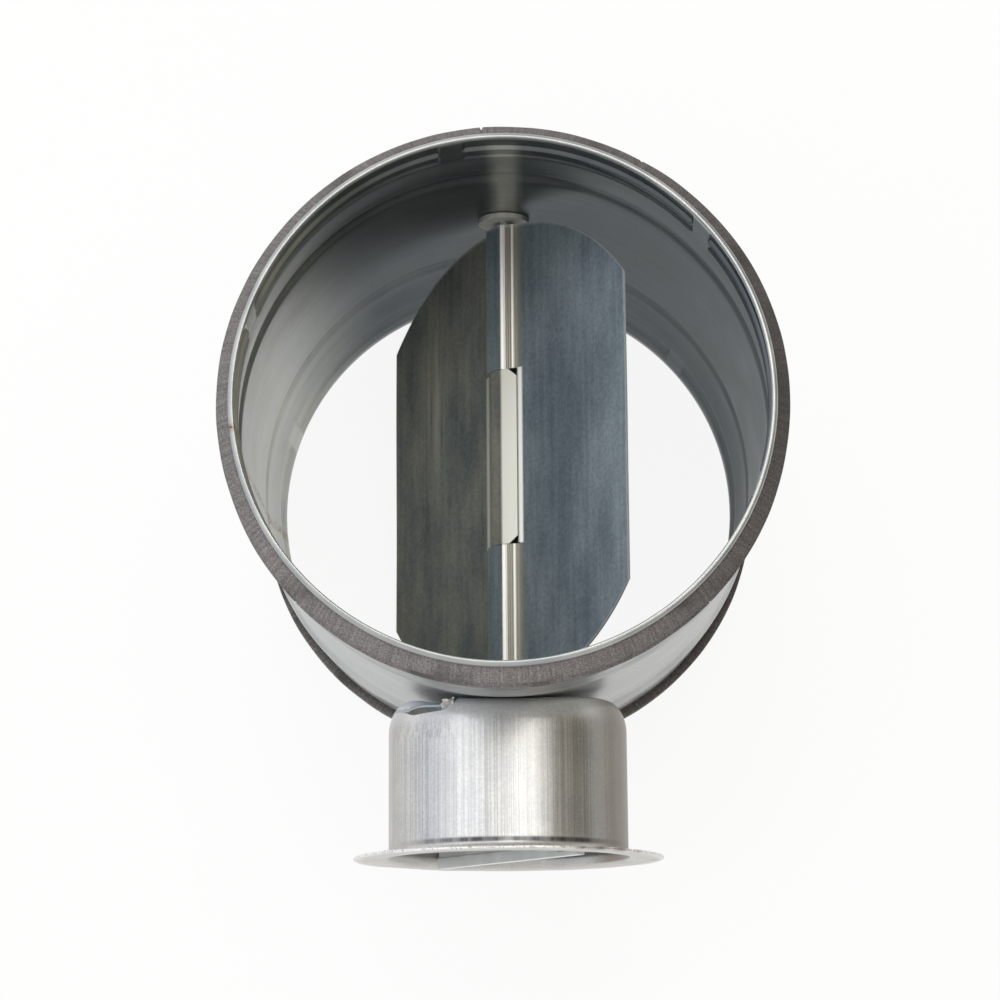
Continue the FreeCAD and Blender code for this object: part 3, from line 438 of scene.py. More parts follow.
def sunkenTongue(size):
    # flush at its left end, pressed in at its right, it stops short of the lip
    across, deep = size["steps"]
    points = []
    for i in range(across + 1):
        x = size["left"] + (size["right"] - size["left"]) * i / across
        for k in range(deep + 1):
            z = size["back"] + (roofFront(x) - size["back"]) * k / deep
            sink = size["sink"] * rise(x, *size["sinkFrom"]) * rise(z, *size["sinkDepth"]) + size["gap"]
            points.append((x * mm, -(cupTop(x, z) + sink) * mm, (middle + z) * mm))
    piece = meshObject("sunkenTongue", points, gridFaces(across + 1, deep + 1), 180)
    thicken(piece, size["sheet"], 50)
    mark(piece, "cutEdge", lambda x, y, z: float(z - middle > roofFront(x) - size["cutEdge"]))
    # painted shade: 1 on the pressed-in part, 0 where it is flush at the left
    mark(piece, "sunk", lambda x, y, z: rise(x, *size["sunkFrom"]))
    return piece


tornLip = {"corner": (-19.4, -82.4, middle + 28.0), "across": (3.4, 0.3, 0.6), "along": (0.5, 2.4, 0.6),
           "size": (3.4, 3.0), "fold": 0.9, "folds": 3, "foot": 0.3, "sheet": 0.4, "steps": 12, "seed": 5}


def crumpledTab(name, lip):
    # a small torn lip of sheet: a folded grid with a rough edge
    corner, across, along = [Vector(lip[key]) for key in ("corner", "across", "along")]
    across, along = across.normalized() * lip["size"][0], along.normalized() * lip["size"][1]
    count, seed, points = lip["steps"] + 1, lip["seed"], []
    for i in range(count):
        for k in range(count):
            u, v = i / lip["steps"], k / lip["steps"]
            p, q = u * lip["folds"], v * lip["folds"]
            fold = Vector(noise.noise(spot) for spot in ((p + seed, q, 0), (p, q + seed, 4), (p, q, seed + 8)))
            points.append((corner + across * u + along * v + fold * lip["fold"] * (lip["foot"] + v)) * mm)
    piece = meshObject(name, points, gridFaces(count, count), 60)
    thicken(piece, lip["sheet"], 50)
    return piece


def shadedAt(x, y, z):  # painted shade on the wall's two sides, the right more than the left
    shade = rise(x, *cup["shadeRight"]) + cup["shadeLeftShare"] * rise(-x, *cup["shadeLeft"])
    return shade * (math.hypot(x, z - middle) < cup["shadeWithin"])


tongue = sunkenTongue(tongueSize)
tornCorner = crumpledTab("tornCorner", tornLip)
mark(settingCup, "wall", lambda x, y, z: band(-y, *cup["wallSpan"]))
# painted light: 1 on the drawn form, 0 on the flange
mark(settingCup, "drawn", lambda x, y, z: 1 - rise(-y, *cup["wallSpan"][2:]))
mark(settingCup, "shaded", shadedAt)
mark(settingCup, "rim", lambda x, y, z: rise(math.hypot(x, z - middle), *cup["rim"]))
print("setting cup")


# blade: two equal halves of creased sheet, their tabs round the shaft
blade = {"angle": 52.0, "radius": 75.5, "halfWidth": 59.2, "sheet": 0.6, "slitEnd": 10.2, "split": 28.0,
         "slit": 0.14, "cornerCut": 2.4, "steps": 70, "rows": 36, "innerRows": 60,
         "wave": 0.16, "waveFrom": (9, 17), "waves": (0.045, 0.03), "ripple": 0.4, "ripples": (0.12, 0.02),
         "pathSteps": (0.1, 0.25), "flute": 0.05, "flutePitch": 0.8, "dash": 1.9,
         "fluted": (2.9, 3.3, 6.6, 7.0), "cutEdge": 0.06, "sheared": 0.6,
         "lightPatchPlace": (37, 24), "lightPatchReach": (6, 24)}
# corners of the tabs across the shaft line: u, n and the bend's radius, on from the slits' ends
outerCorners = [(7.8, 0, 4.0), (5.9, 0.9, 0.3), (5.5, 1.35, 0.3), (3.0, 2.6, 0.4), (2.4, 3.35, 0.4), (-4.6, 3.35)]
nearCorners = [(9.3, 0, 1.2), (7.9, 0.95, 0.3)]  # the near half's edge is bent up beside the far half's tab
farCorners = [(7.8, 0, 7.8)]
innerCorners = [(2.4, -3.35, 1.1), (-2.4, -3.35, 1.1), (-6.8, -0.6)]
# the press tool's brown and olive marks on the outer tabs, with painted highlights on their creases, and painted
# light, pale, on the middle one: across the shaft where each starts, is full, falls and ends, and its strength
tabMarks = {"bright": [(2.3, 2.8, 3.5, 4.0, 1.0), (5.6, 5.85, 6.1, 6.35, 0.8)], "brown": [(3.3, 3.7, 6.0, 6.4, 1.0)],
            "olive": [(5.9, 6.4, 7.8, 10.4, 1.0)], "pale": [(-99, -98, -2.8, -1.9, 1.0), (6.5, 7.5, 8.8, 9.8, 1.0)]}


def fromShaft(u, n, s):  # u runs across the blade, n out of its sheet, s down the shaft line
    a = math.radians(blade["angle"])
    return Vector((u * math.cos(a) - n * math.sin(a), -s, middle + u * math.sin(a) + n * math.cos(a))) * mm


def discReach(u):
    return math.sqrt(blade["radius"] ** 2 - u ** 2)


def addPatch(points, faces, path, rows, shape):
    # a grid along path; rows(u) gives the s values, shape(u, n, s, along) the point in space
    faces += gridFaces(len(path), len(rows(path[0].x)), len(points))
    along, before = 0.0, path[0]
    for spot in path:
        along += (spot - before).length
        before = spot
        points += [shape(spot.x, spot.y, s, along) for s in rows(spot.x)]


def bladeHalf(name, side):
    edge, inner = blade["split"] + blade["slit"] / 2, blade["split"] - blade["slit"] / 2
    slitEnd, steps = (blade["slitEnd"], 0), blade["steps"]

    def stand(u, n, s, along=0):
        (p, q), (small, long) = blade["waves"], blade["ripples"]
        lift = noise.noise((u * p, s * q, 7 + side)) + blade["ripple"] * noise.noise((u * small, s * long, 3))
        return fromShaft(side * u, side * (n + blade["wave"] * rise(u, *blade["waveFrom"]) * lift), s)

    def fluted(u, n, s, along):
        onRamp = band(u, *blade["fluted"]) if n > 0.1 else 0
        dash = 0.5 + 0.5 * math.sin(2 * math.pi * s / blade["dash"]) if s > 0 else 1
        return stand(u, n - blade["flute"] * onRamp * dash * math.cos(2 * math.pi * along / blade["flutePitch"]), s)

    def cutCorner(u, n, s, along):
        limit = inner - max(0, innerCorners[-1][0] - u + blade["cornerCut"])
        return stand(u, n, s * limit / inner)

    def outerRows(sign):
        parts = [k / blade["rows"] for k in range(blade["rows"] + 1)]
        return lambda u: [sign * (edge + (discReach(u) - edge) * part) for part in parts]

    def innerRows(u):
        return [inner * (2 * k / blade["innerRows"] - 1) for k in range(blade["innerRows"] + 1)]

    wide = [Vector((slitEnd[0] + (blade["halfWidth"] - slitEnd[0]) * i / steps, 0)) for i in range(steps, -1, -1)]
    outerPath = roundPath([slitEnd, *outerCorners], blade["pathSteps"][0])
    start = nearCorners if side > 0 else farCorners
    innerPath = roundPath([slitEnd, *start, *innerCorners], blade["pathSteps"][1])
    points, faces = [], []
    for sign in (-1, 1):
        addPatch(points, faces, wide, outerRows(sign), stand)
        addPatch(points, faces, wide, lambda u: [sign * inner, sign * edge], stand)
        addPatch(points, faces, outerPath, outerRows(sign), fluted)
    addPatch(points, faces, wide, innerRows, stand)
    addPatch(points, faces, innerPath, innerRows, cutCorner)
    piece = meshObject(name, points, faces, 180)
    thicken(piece, blade["sheet"], 40, True)
    markTabs(piece, side)
    return piece


def markTabs(piece, side):
    a = math.radians(blade["angle"])

    def acrossAt(x, z):
        return side * (x * math.cos(a) + (z - middle) * math.sin(a))

    def bandsAt(bands, u):
        return max(strength * band(u, *places) for *places, strength in bands)

    def shearedAt(x, y, z):  # the bare steel of the cut edges
        u, edge = acrossAt(x, z), blade["cutEdge"]
        return blade["sheared"] * (u > blade["halfWidth"] - edge or math.hypot(u, y) > blade["radius"] - edge
                                   or (u < outerCorners[-1][0] + edge and abs(y) > blade["split"]))

    # painted light: a soft pale patch on the far half's face
    def paintedLightPatchAt(x, y, z):
        (u0, y0), (wide, high) = blade["lightPatchPlace"], blade["lightPatchReach"]
        return (side < 0) * math.exp(-((acrossAt(x, z) - u0) / wide) ** 2 - ((y - y0) / high) ** 2)

    for name, bands in tabMarks.items():
        onOuter = name != "pale"
        mark(piece, name, lambda x, y, z: bandsAt(bands, acrossAt(x, z)) * ((abs(y) > blade["split"]) == onOuter))
    mark(piece, "sheared", shearedAt)
    mark(piece, "rubbed", paintedLightPatchAt)


bladeNearHalf = bladeHalf("bladeNearHalf", 1)
bladeFarHalf = bladeHalf("bladeFarHalf", -1)
print("blade halves", len(bladeNearHalf.data.polygons))


# threads: ridges repeated along the bush and the stud
def threadTree():
    tree = bpy.data.node_groups.new("threadRidges", "GeometryNodeTree")
    for label, kind, value in (("Turns", "NodeSocketInt", 8), ("Pitch", "NodeSocketFloat", 0.001),
                               ("Radius", "NodeSocketFloat", 0.003), ("Depth", "NodeSocketFloat", 0.0003),
                               ("Finish", "NodeSocketMaterial", None)):
        socket = tree.interface.new_socket(name=label, in_out="INPUT", socket_type=kind)
        if value is not None:
            socket.default_value = value
    tree.interface.new_socket(name="Mesh", in_out="OUTPUT", socket_type="NodeSocketGeometry")
    given = addNode(tree, "NodeGroupInput")
    step = addNode(tree, "ShaderNodeCombineXYZ", links={"Z": given.outputs["Pitch"]})
    places = addNode(tree, "GeometryNodeMeshLine", {"mode": "OFFSET"},
                     {"Count": given.outputs["Turns"], "Offset": step})
    ring = addNode(tree, "GeometryNodeCurvePrimitiveCircle", {"Resolution": 64}, {"Radius": given.outputs["Radius"]})
    ridge = addNode(tree, "GeometryNodeCurvePrimitiveCircle", {"Resolution": 6}, {"Radius": given.outputs["Depth"]})
    ridged = addNode(tree, "GeometryNodeCurveToMesh", {}, {"Curve": ring, "Profile Curve": ridge})
    spread = addNode(tree, "GeometryNodeInstanceOnPoints", {}, {"Points": places, "Instance": ridged})
    real = addNode(tree, "GeometryNodeRealizeInstances", {}, {"Geometry": spread})
    coated = addNode(tree, "GeometryNodeSetMaterial", {}, {"Geometry": real, "Material": given.outputs["Finish"]})
    addNode(tree, "NodeGroupOutput", {}, {"Mesh": coated})
    return tree


def threadPiece(name, tree, values, place):
    piece = meshObject(name, [(0, 0, 0)], [])
    modifier = piece.modifiers.new("thread", "NODES")
    modifier.node_group = tree
    sockets = {item.name: item.identifier for item in tree.interface.items_tree if item.in_out == "INPUT"}
    for label, value in values.items():
        modifier[sockets[label]] = value
    applyModifiers(piece)
    piece.data.transform(place)
    finishMesh(piece, 30)
    return piece


# materials: each starts from the real one's colour, gloss and grain
multiplied = {"data_type": "RGBA", "blend_type": "MULTIPLY"}
noiseSpan = {"From Min": 0.3, "From Max": 0.7}  # where most of a noise pattern lies


def spotLayers(tree, place, spots, shade):  # soft round stains, each with its place, reach and strength
    layers = []
    for spot, reach, strength in spots:
        spot = [v * mm for v in spot]
        away = addNode(tree, "ShaderNodeVectorMath", {"operation": "DISTANCE", 1: spot}, {0: place}).outputs["Value"]
        near = addNode(tree, "ShaderNodeMapRange", {"From Max": reach * mm, "To Min": strength, "To Max": 0.0},
                       {"Value": away})
        layers.append((near, shade))
    return layers


def galvanisedTube():
    # hot-dip galvanised steel strip, rolled and welded: soft grey metal with streaks round the tube
    material, tree, shader, place, inside, dull, weld = newMaterial(
        "galvanisedSteelRolled", {"Metallic": 0.68}, "inside", "dull", "weld")
    long = addNode(tree, "ShaderNodeMapping", {"Scale": (14, 14, 900)}, {"Vector": place})  # lines 1 mm apart
    streaks = addNode(tree, "ShaderNodeTexNoise", {"Scale": 1.0, "Detail": 4.0, "Roughness": 0.55}, {"Vector": long})
    clouds = addNode(tree, "ShaderNodeTexNoise", {"Scale": 55.0, "Detail": 5.0, "Roughness": 0.55},
                     {"Vector": place})  # zinc clouds, about 18 mm
    tone = addNode(tree, "ShaderNodeValToRGB", {"stops": [(0.32, "#a4a8aa"), (0.68, "#c8c9c6")]}, {"Fac": clouds})
    lines = addNode(tree, "ShaderNodeValToRGB", {"stops": [(0.3, "#c4c4c1"), (0.7, "#ffffff")]}, {"Fac": streaks})
    colour = addNode(tree, "ShaderNodeMix", {**multiplied, 0: 0.5}, {6: tone, 7: lines})
    # inside: painted shade, a darker grey, least at the lower left and on the crown's strip of painted reflection
    insideShadeColour = addNode(tree, "ShaderNodeMix", {"data_type": "RGBA", 6: "#fffdf4", 7: "#92979a"}, {0: dull})
    colour = addNode(tree, "ShaderNodeMix", multiplied, {0: inside, 6: colour, 7: insideShadeColour})
    # the butt weld on the left: a straw heat tint, a row of dark dots and a few burnt spots
    tint = addNode(tree, "ShaderNodeMath", {"operation": "MULTIPLY", 1: 0.45}, {0: weld})
    short = addNode(tree, "ShaderNodeMapping", {"Scale": (100, 700, 420)}, {"Vector": place})  # dots 2 mm apart
    dots = addNode(tree, "ShaderNodeTexNoise", {"Scale": 1.0, "Detail": 1.0}, {"Vector": short})
    dots = addNode(tree, "ShaderNodeMapRange", {"From Min": 0.56, "From Max": 0.64}, {"Value": dots})
    dots = addNode(tree, "ShaderNodeMath", {"operation": "MULTIPLY"}, {0: dots, 1: weld})
    burns = [((-75.6, -9.0, 162.6), 2.8, 0.8), ((-76.5, -9.6, 158.0), 2.0, 0.8), ((-77, -9.2, 14.0), 3.0, 0.8),
             ((-76, -9.2, 7.0), 2.6, 0.8)]
    for amount, shade in [(tint, "#8d7f68"), (dots, "#564838")] + spotLayers(tree, place, burns, "#4a3c2e"):
        colour = addNode(tree, "ShaderNodeMix", {"data_type": "RGBA", 7: shade}, {0: amount, 6: colour})
    rough = addNode(tree, "ShaderNodeMapRange", {**noiseSpan, "To Min": 0.28, "To Max": 0.4}, {"Value": clouds})
    bump = addNode(tree, "ShaderNodeBump", {"Strength": 0.2, "Distance": 0.00004}, {"Height": streaks})
    insideShadeAmount = addNode(tree, "ShaderNodeMath", {"operation": "MULTIPLY"}, {0: inside, 1: dull})
    insideShadeSpecular = addNode(tree, "ShaderNodeMix", {"data_type": "RGBA", 6: "#ffffff", 7: "#b0b4b6"},
                    {0: insideShadeAmount})  # painted shade: this tint keeps the inside's reflections down
    wire(tree, shader, {"Base Color": colour, "Roughness": rough, "Normal": bump, "Specular Tint": insideShadeSpecular})
    return material


def galvanisedCup():
    # the same coated steel after deep drawing: the die leaves fine lines down the wall
    material, tree, shader, place, onWall, pressed, shaded, rim = newMaterial(
        "galvanisedSteelDrawn", {}, "wall", "drawn", "shaded", "rim")
    fine, wide = [addNode(tree, "ShaderNodeMapping", {"Scale": scale}, {"Vector": place})
                  for scale in ((2800, 7, 2800), (260, 6, 260))]  # drawing lines, under 1 mm and about 4 mm apart
    streaks = addNode(tree, "ShaderNodeTexNoise", {"Scale": 1.0, "Detail": 3.0, "Roughness": 0.55}, {"Vector": fine})
    broad = addNode(tree, "ShaderNodeTexNoise", {"Scale": 1.0, "Detail": 3.0}, {"Vector": wide})
    grain = addNode(tree, "ShaderNodeTexNoise", {"Scale": 1400.0, "Detail": 2.0, "Roughness": 0.6},
                    {"Vector": place})
    clouds = addNode(tree, "ShaderNodeTexNoise", {"Scale": 90.0, "Detail": 5.0, "Roughness": 0.6}, {"Vector": place})
    tone = addNode(tree, "ShaderNodeValToRGB", {"stops": [(0.3, "#c2c0bc"), (0.7, "#d6d4d0")]}, {"Fac": clouds})
    # painted light: the drawn form, shoulder too, is lighter than the flange, lifting the shade at its shoulder
    drawn = addNode(tree, "ShaderNodeValToRGB", {"stops": [(0.3, "#dbdcdf"), (0.7, "#ededeb")]}, {"Fac": clouds})
    colour = addNode(tree, "ShaderNodeMix", {"data_type": "RGBA"}, {0: pressed, 6: tone, 7: drawn})
    share = addNode(tree, "ShaderNodeMath", {"operation": "MULTIPLY", 1: 0.5}, {0: onWall})
    for pattern, stops in ((streaks, [(0.38, "#b0aeaa"), (0.5, "#dcdcda"), (0.58, "#ffffff")]),
                           (broad, [(0.35, "#e6e4e0"), (0.65, "#ffffff")])):
        lines = addNode(tree, "ShaderNodeValToRGB", {"stops": stops}, {"Fac": pattern})
        colour = addNode(tree, "ShaderNodeMix", multiplied, {0: share, 6: colour, 7: lines})
    mottle = addNode(tree, "ShaderNodeValToRGB", {"stops": [(0.35, "#d2d2d0"), (0.65, "#ffffff")]}, {"Fac": grain})
    colour = addNode(tree, "ShaderNodeMix", {**multiplied, 0: 0.4}, {6: colour, 7: mottle})
    # painted shade on the wall's sides, brownish grey
    sideShade = addNode(tree, "ShaderNodeMath", {"operation": "MULTIPLY", 1: 0.8}, {0: shaded})
    chips = addNode(tree, "ShaderNodeMapRange", {"From Min": 0.38, "From Max": 0.5}, {"Value": grain})
    worn = addNode(tree, "ShaderNodeMath", {"operation": "MULTIPLY"}, {0: chips, 1: rim})
    # painted shade: a dark band where the wall turns into the flange, uneven and gone at the right
    axes = addNode(tree, "ShaderNodeSeparateXYZ", {}, {"Vector": place})
    height = addNode(tree, "ShaderNodeMapRange", {"From Min": -0.123, "From Max": -0.119},
                     {"Value": axes.outputs["Y"]})
    line = addNode(tree, "ShaderNodeValToRGB", {"stops": [(0.14, "#000000"), (0.3, "#ffffff"), (0.5, "#ffffff"),
                                                          (0.66, "#000000")]}, {"Fac": height})
    side = addNode(tree, "ShaderNodeMapRange", {"From Min": -0.033, "From Max": 0.036}, {"Value": axes.outputs["X"]})
    along = addNode(tree, "ShaderNodeValToRGB", {"stops": [(0.0, "#000000"), (0.25, "#ffffff"), (0.78, "#ffffff"),
                                                           (1.0, "#000000")]}, {"Fac": side})
    dashes = addNode(tree, "ShaderNodeMapRange", {"From Min": 0.35, "From Max": 0.6, "To Min": 0.6},
                     {"Value": broad})
    bendShade = addNode(tree, "ShaderNodeMath", {"operation": "MULTIPLY"}, {0: line, 1: along})
    bendShade = addNode(tree, "ShaderNodeMath", {"operation": "MULTIPLY"}, {0: bendShade, 1: dashes})
    # brown heat and oil stains on the flange
    stains = [((21.5, -124.6, middle + 41.6), 4.0, 0.5), ((27.0, -124.4, middle + 38.4), 5.0, 0.8),
              ((33.0, -124.4, middle + 33.5), 4.5, 0.8), ((38, -124.4, middle + 27), 3.0, 0.5),
              ((44.6, -125, middle - 3.5), 1.8, 0.9)]
    layers = [(sideShade, "#6a604f"), (worn, "#f0efec"), (bendShade, "#4b4a50")] + spotLayers(tree, place, stains, "#6b4d33")
    for amount, shade in layers:
        colour = addNode(tree, "ShaderNodeMix", {"data_type": "RGBA", 7: shade}, {0: amount, 6: colour})
    rough = addNode(tree, "ShaderNodeMapRange", {**noiseSpan, "To Min": 0.3, "To Max": 0.42}, {"Value": streaks})
    groove = addNode(tree, "ShaderNodeMath", {"operation": "MULTIPLY"}, {0: streaks, 1: onWall})
    bump = addNode(tree, "ShaderNodeBump", {"Strength": 0.15, "Distance": 0.00003}, {"Height": groove})
    metal = addNode(tree, "ShaderNodeMapRange", {"To Min": 0.5, "To Max": 0.9}, {"Value": onWall})
    wire(tree, shader, {"Base Color": colour, "Roughness": rough, "Normal": bump, "Metallic": metal})
    return material


def bladeSteel(name, low, high, metallic):
    # cold-rolled galvanised sheet with a dull oxide, its rolling lines along the shaft
    material, tree, shader, place, rubbed, brown, olive, pale, bright, sheared = newMaterial(
        name, {}, "rubbed", "brown", "olive", "pale", "bright", "sheared")
    long = addNode(tree, "ShaderNodeMapping", {"Scale": (520, 20, 520)}, {"Vector": place})  # lines 1 to 2 mm apart
    streaks = addNode(tree, "ShaderNodeTexNoise", {"Scale": 1.0, "Detail": 4.0, "Roughness": 0.6}, {"Vector": long})
    drift = addNode(tree, "ShaderNodeMapping", {"Scale": (42, 20, 42)}, {"Vector": place})  # clouds 25 mm wide
    clouds = addNode(tree, "ShaderNodeTexNoise", {"Scale": 1.0, "Detail": 5.0, "Roughness": 0.6}, {"Vector": drift})
    grain = addNode(tree, "ShaderNodeTexNoise", {"Scale": 800.0, "Detail": 3.0, "Roughness": 0.7}, {"Vector": place})
    specks = addNode(tree, "ShaderNodeTexNoise", {"Scale": 1300.0, "Detail": 2.0}, {"Vector": place})
    colour = addNode(tree, "ShaderNodeValToRGB", {"stops": [(0.36, low), (0.62, high)]}, {"Fac": clouds})
    for pattern, stops in ((streaks, [(0.3, "#b9babb"), (0.7, "#ffffff")]),
                           (grain, [(0.36, "#c2c4c6"), (0.62, "#ffffff")])):
        lines = addNode(tree, "ShaderNodeValToRGB", {"stops": stops}, {"Fac": pattern})
        colour = addNode(tree, "ShaderNodeMix", {**multiplied, 0: 0.5}, {6: colour, 7: lines})
    speck = addNode(tree, "ShaderNodeMapRange", {"From Min": 0.66, "From Max": 0.74, "To Max": 0.4},
                    {"Value": specks})
    # the far half's patch of painted light, along its streaks
    lightPatchLines = addNode(tree, "ShaderNodeMapRange", {"From Min": 0.4, "From Max": 0.62}, {"Value": streaks})
    lightPatch = addNode(tree, "ShaderNodeMath", {"operation": "MULTIPLY"}, {0: rubbed, 1: lightPatchLines})
    lightPatch = addNode(tree, "ShaderNodeMath", {"operation": "MULTIPLY", 1: 0.55}, {0: lightPatch})
    layers = [(speck, "#cdd3d6"), (lightPatch, "#e6e0d0")]
    # painted highlights and painted light on the tabs go over the press tool's marks; the highlights are less
    # metallic too
    for amount, share, shade in ((brown, 0.85, "#b5ad9e"), (olive, 0.75, "#b3ae9c"), (pale, 0.9, "#f0f0e6"),
                                 (bright, 1.0, "#fffdf4"), (sheared, 1.0, "#e9eceb")):
        layers.append((addNode(tree, "ShaderNodeMath", {"operation": "MULTIPLY", 1: share}, {0: amount}), shade))
    for amount, shade in layers:
        colour = addNode(tree, "ShaderNodeMix", {"data_type": "RGBA", 7: shade}, {0: amount, 6: colour})
    rough = addNode(tree, "ShaderNodeMapRange", {**noiseSpan, "To Min": 0.34, "To Max": 0.46}, {"Value": clouds})
    bump = addNode(tree, "ShaderNodeBump", {"Strength": 0.12, "Distance": 0.00003}, {"Height": streaks})
    metal = addNode(tree, "ShaderNodeMapRange", {"To Min": metallic, "To Max": 0.15}, {"Value": bright})
    wire(tree, shader, {"Base Color": colour, "Roughness": rough, "Normal": bump, "Metallic": metal})
    return material


def sunkSteel():
    # the same sheet where it was pierced and pressed in: smooth, it mirrors the tube above it; its pressed-in part
    # has painted shade, a darker blue-grey
    material, tree, shader, place, sheared, sunk = newMaterial(
        "galvanisedSteelPierced", {"Metallic": 0.4}, "cutEdge", "sunk")
    clouds = addNode(tree, "ShaderNodeTexNoise", {"Scale": 220.0, "Detail": 4.0}, {"Vector": place})
    tone = addNode(tree, "ShaderNodeValToRGB", {"stops": [(0.3, "#bccdd6"), (0.7, "#d5e2e9")]}, {"Fac": clouds})
    tone = addNode(tree, "ShaderNodeMix", {"data_type": "RGBA", 6: "#dfe1e5"}, {0: sunk, 7: tone})
    colour = addNode(tree, "ShaderNodeMix", {"data_type": "RGBA", 7: "#a4b0b7"}, {0: sheared, 6: tone})
    rough = addNode(tree, "ShaderNodeMapRange", {**noiseSpan, "To Min": 0.28, "To Max": 0.4}, {"Value": clouds})
    wire(tree, shader, {"Base Color": colour, "Roughness": rough})
    return material


def epdmRubber():
    # moulded EPDM: matt near-black with a dusty grey bloom, wiped into fine streaks across the lips
    material, tree, shader, place = newMaterial("epdmRubberMoulded", {"Roughness": 0.72, "IOR": 1.5})
    axes = addNode(tree, "ShaderNodeSeparateXYZ", {}, {"Vector": place})
    turn = addNode(tree, "ShaderNodeMath", {"operation": "ARCTAN2"}, {0: axes.outputs["Y"], 1: axes.outputs["X"]})
    unrolled = addNode(tree, "ShaderNodeCombineXYZ", {}, {"X": turn, "Z": axes.outputs["Z"]})
    across = addNode(tree, "ShaderNodeMapping", {"Scale": (120, 1, 60)}, {"Vector": unrolled})  # about 0.7 mm wide
    wiped = addNode(tree, "ShaderNodeTexNoise", {"Scale": 1.0, "Detail": 4.0, "Roughness": 0.65}, {"Vector": across})
    dust = addNode(tree, "ShaderNodeTexNoise", {"Scale": 1900.0, "Detail": 3.0, "Roughness": 0.7}, {"Vector": place})
    patches = addNode(tree, "ShaderNodeTexNoise", {"Scale": 60.0, "Detail": 3.0}, {"Vector": place})
    tone = addNode(tree, "ShaderNodeValToRGB", {"stops": [(0.34, "#7f7a79"), (0.66, "#a29c9b")]}, {"Fac": wiped})
    speckle = addNode(tree, "ShaderNodeValToRGB", {"stops": [(0.42, "#868482"), (0.58, "#ffffff")]}, {"Fac": dust})
    colour = addNode(tree, "ShaderNodeMix", {**multiplied, 0: 0.6}, {6: tone, 7: speckle})
    # painted shade round the ring: darkest on its right side, lightest at its bottom
    roundTurn = addNode(tree, "ShaderNodeMapRange", {"From Min": -math.pi, "From Max": math.pi}, {"Value": turn})
    shadeAround = addNode(tree, "ShaderNodeValToRGB", {"stops": [(0.0, "#dedede"), (0.25, "#ffffff"), (0.5, "#8e8c8a"),
                                                           (0.78, "#d6d6d6"), (1.0, "#dedede")]}, {"Fac": roundTurn})
    colour = addNode(tree, "ShaderNodeMix", {**multiplied, 0: 1.0}, {6: colour, 7: shadeAround})
    wet = addNode(tree, "ShaderNodeMapRange", {"From Min": 0.54, "From Max": 0.7, "To Max": 0.6}, {"Value": patches})
    colour = addNode(tree, "ShaderNodeMix", {"data_type": "RGBA", 7: "#383534"}, {0: wet, 6: colour})
    bump = addNode(tree, "ShaderNodeBump", {"Strength": 0.25, "Distance": 0.00006}, {"Height": dust})
    wire(tree, shader, {"Base Color": colour, "Normal": bump})
    return material


def acetalBush():
    # moulded acetal, off-white gone beige-grey: smooth with a faint mottle
    material, tree, shader, place = newMaterial("acetalMoulded", {"Roughness": 0.42, "IOR": 1.48})
    mottle = addNode(tree, "ShaderNodeTexNoise", {"Scale": 500.0, "Detail": 4.0}, {"Vector": place})
    tone = addNode(tree, "ShaderNodeValToRGB", {"stops": [(0.35, "#b3b2ad"), (0.65, "#c6c5c0")]}, {"Fac": mottle})
    bump = addNode(tree, "ShaderNodeBump", {"Strength": 0.15, "Distance": 0.00005}, {"Height": mottle})
    wire(tree, shader, {"Base Color": tone, "Normal": bump})
    return material


def zincPlate():
    # machined steel, zinc plated and clear passivated: bright with fine turning marks
    material, tree, shader, place = newMaterial("zincPlatedSteel", {"Metallic": 1.0})
    turned = addNode(tree, "ShaderNodeMapping", {"Scale": (900, 2500, 900)}, {"Vector": place})  # marks 0.4 mm apart
    marks = addNode(tree, "ShaderNodeTexNoise", {"Scale": 1.0, "Detail": 3.0}, {"Vector": turned})
    tone = addNode(tree, "ShaderNodeValToRGB", {"stops": [(0.3, "#a3a6a8"), (0.7, "#d2d3d0")]}, {"Fac": marks})
    rough = addNode(tree, "ShaderNodeMapRange", {**noiseSpan, "To Min": 0.22, "To Max": 0.4}, {"Value": marks})
    wire(tree, shader, {"Base Color": tone, "Roughness": rough})
    return material


def controlSheet():
    # pressed galvanised sheet of the handle and quadrant, paler than the duct
    material, tree, shader, place = newMaterial("galvanisedSteelPressed", {"Metallic": 0.35})
    clouds = addNode(tree, "ShaderNodeTexNoise", {"Scale": 160.0, "Detail": 5.0}, {"Vector": place})
    tone = addNode(tree, "ShaderNodeValToRGB", {"stops": [(0.3, "#dce1e0"), (0.7, "#f0f2ef")]}, {"Fac": clouds})
    rough = addNode(tree, "ShaderNodeMapRange", {**noiseSpan, "To Min": 0.28, "To Max": 0.44}, {"Value": clouds})
    wire(tree, shader, {"Base Color": tone, "Roughness": rough})
    return material


tubeSteel, cupSteel = galvanisedTube(), galvanisedCup()
# painted light: the halves are one sheet; the near one is tinted bluer, the far one warmer, for the light each
# catches
bladeNearSteel = bladeSteel("galvanisedSteelBladeBlue", "#8d9da9", "#b4c3cc", 0.5)
bladeFarSteel = bladeSteel("galvanisedSteelBladeGrey", "#8b9599", "#c3c1b6", 0.48)
rubber, acetal, zinc, pressed = epdmRubber(), acetalBush(), zincPlate(), controlSheet()
tongueSteel = sunkSteel()
print("materials")


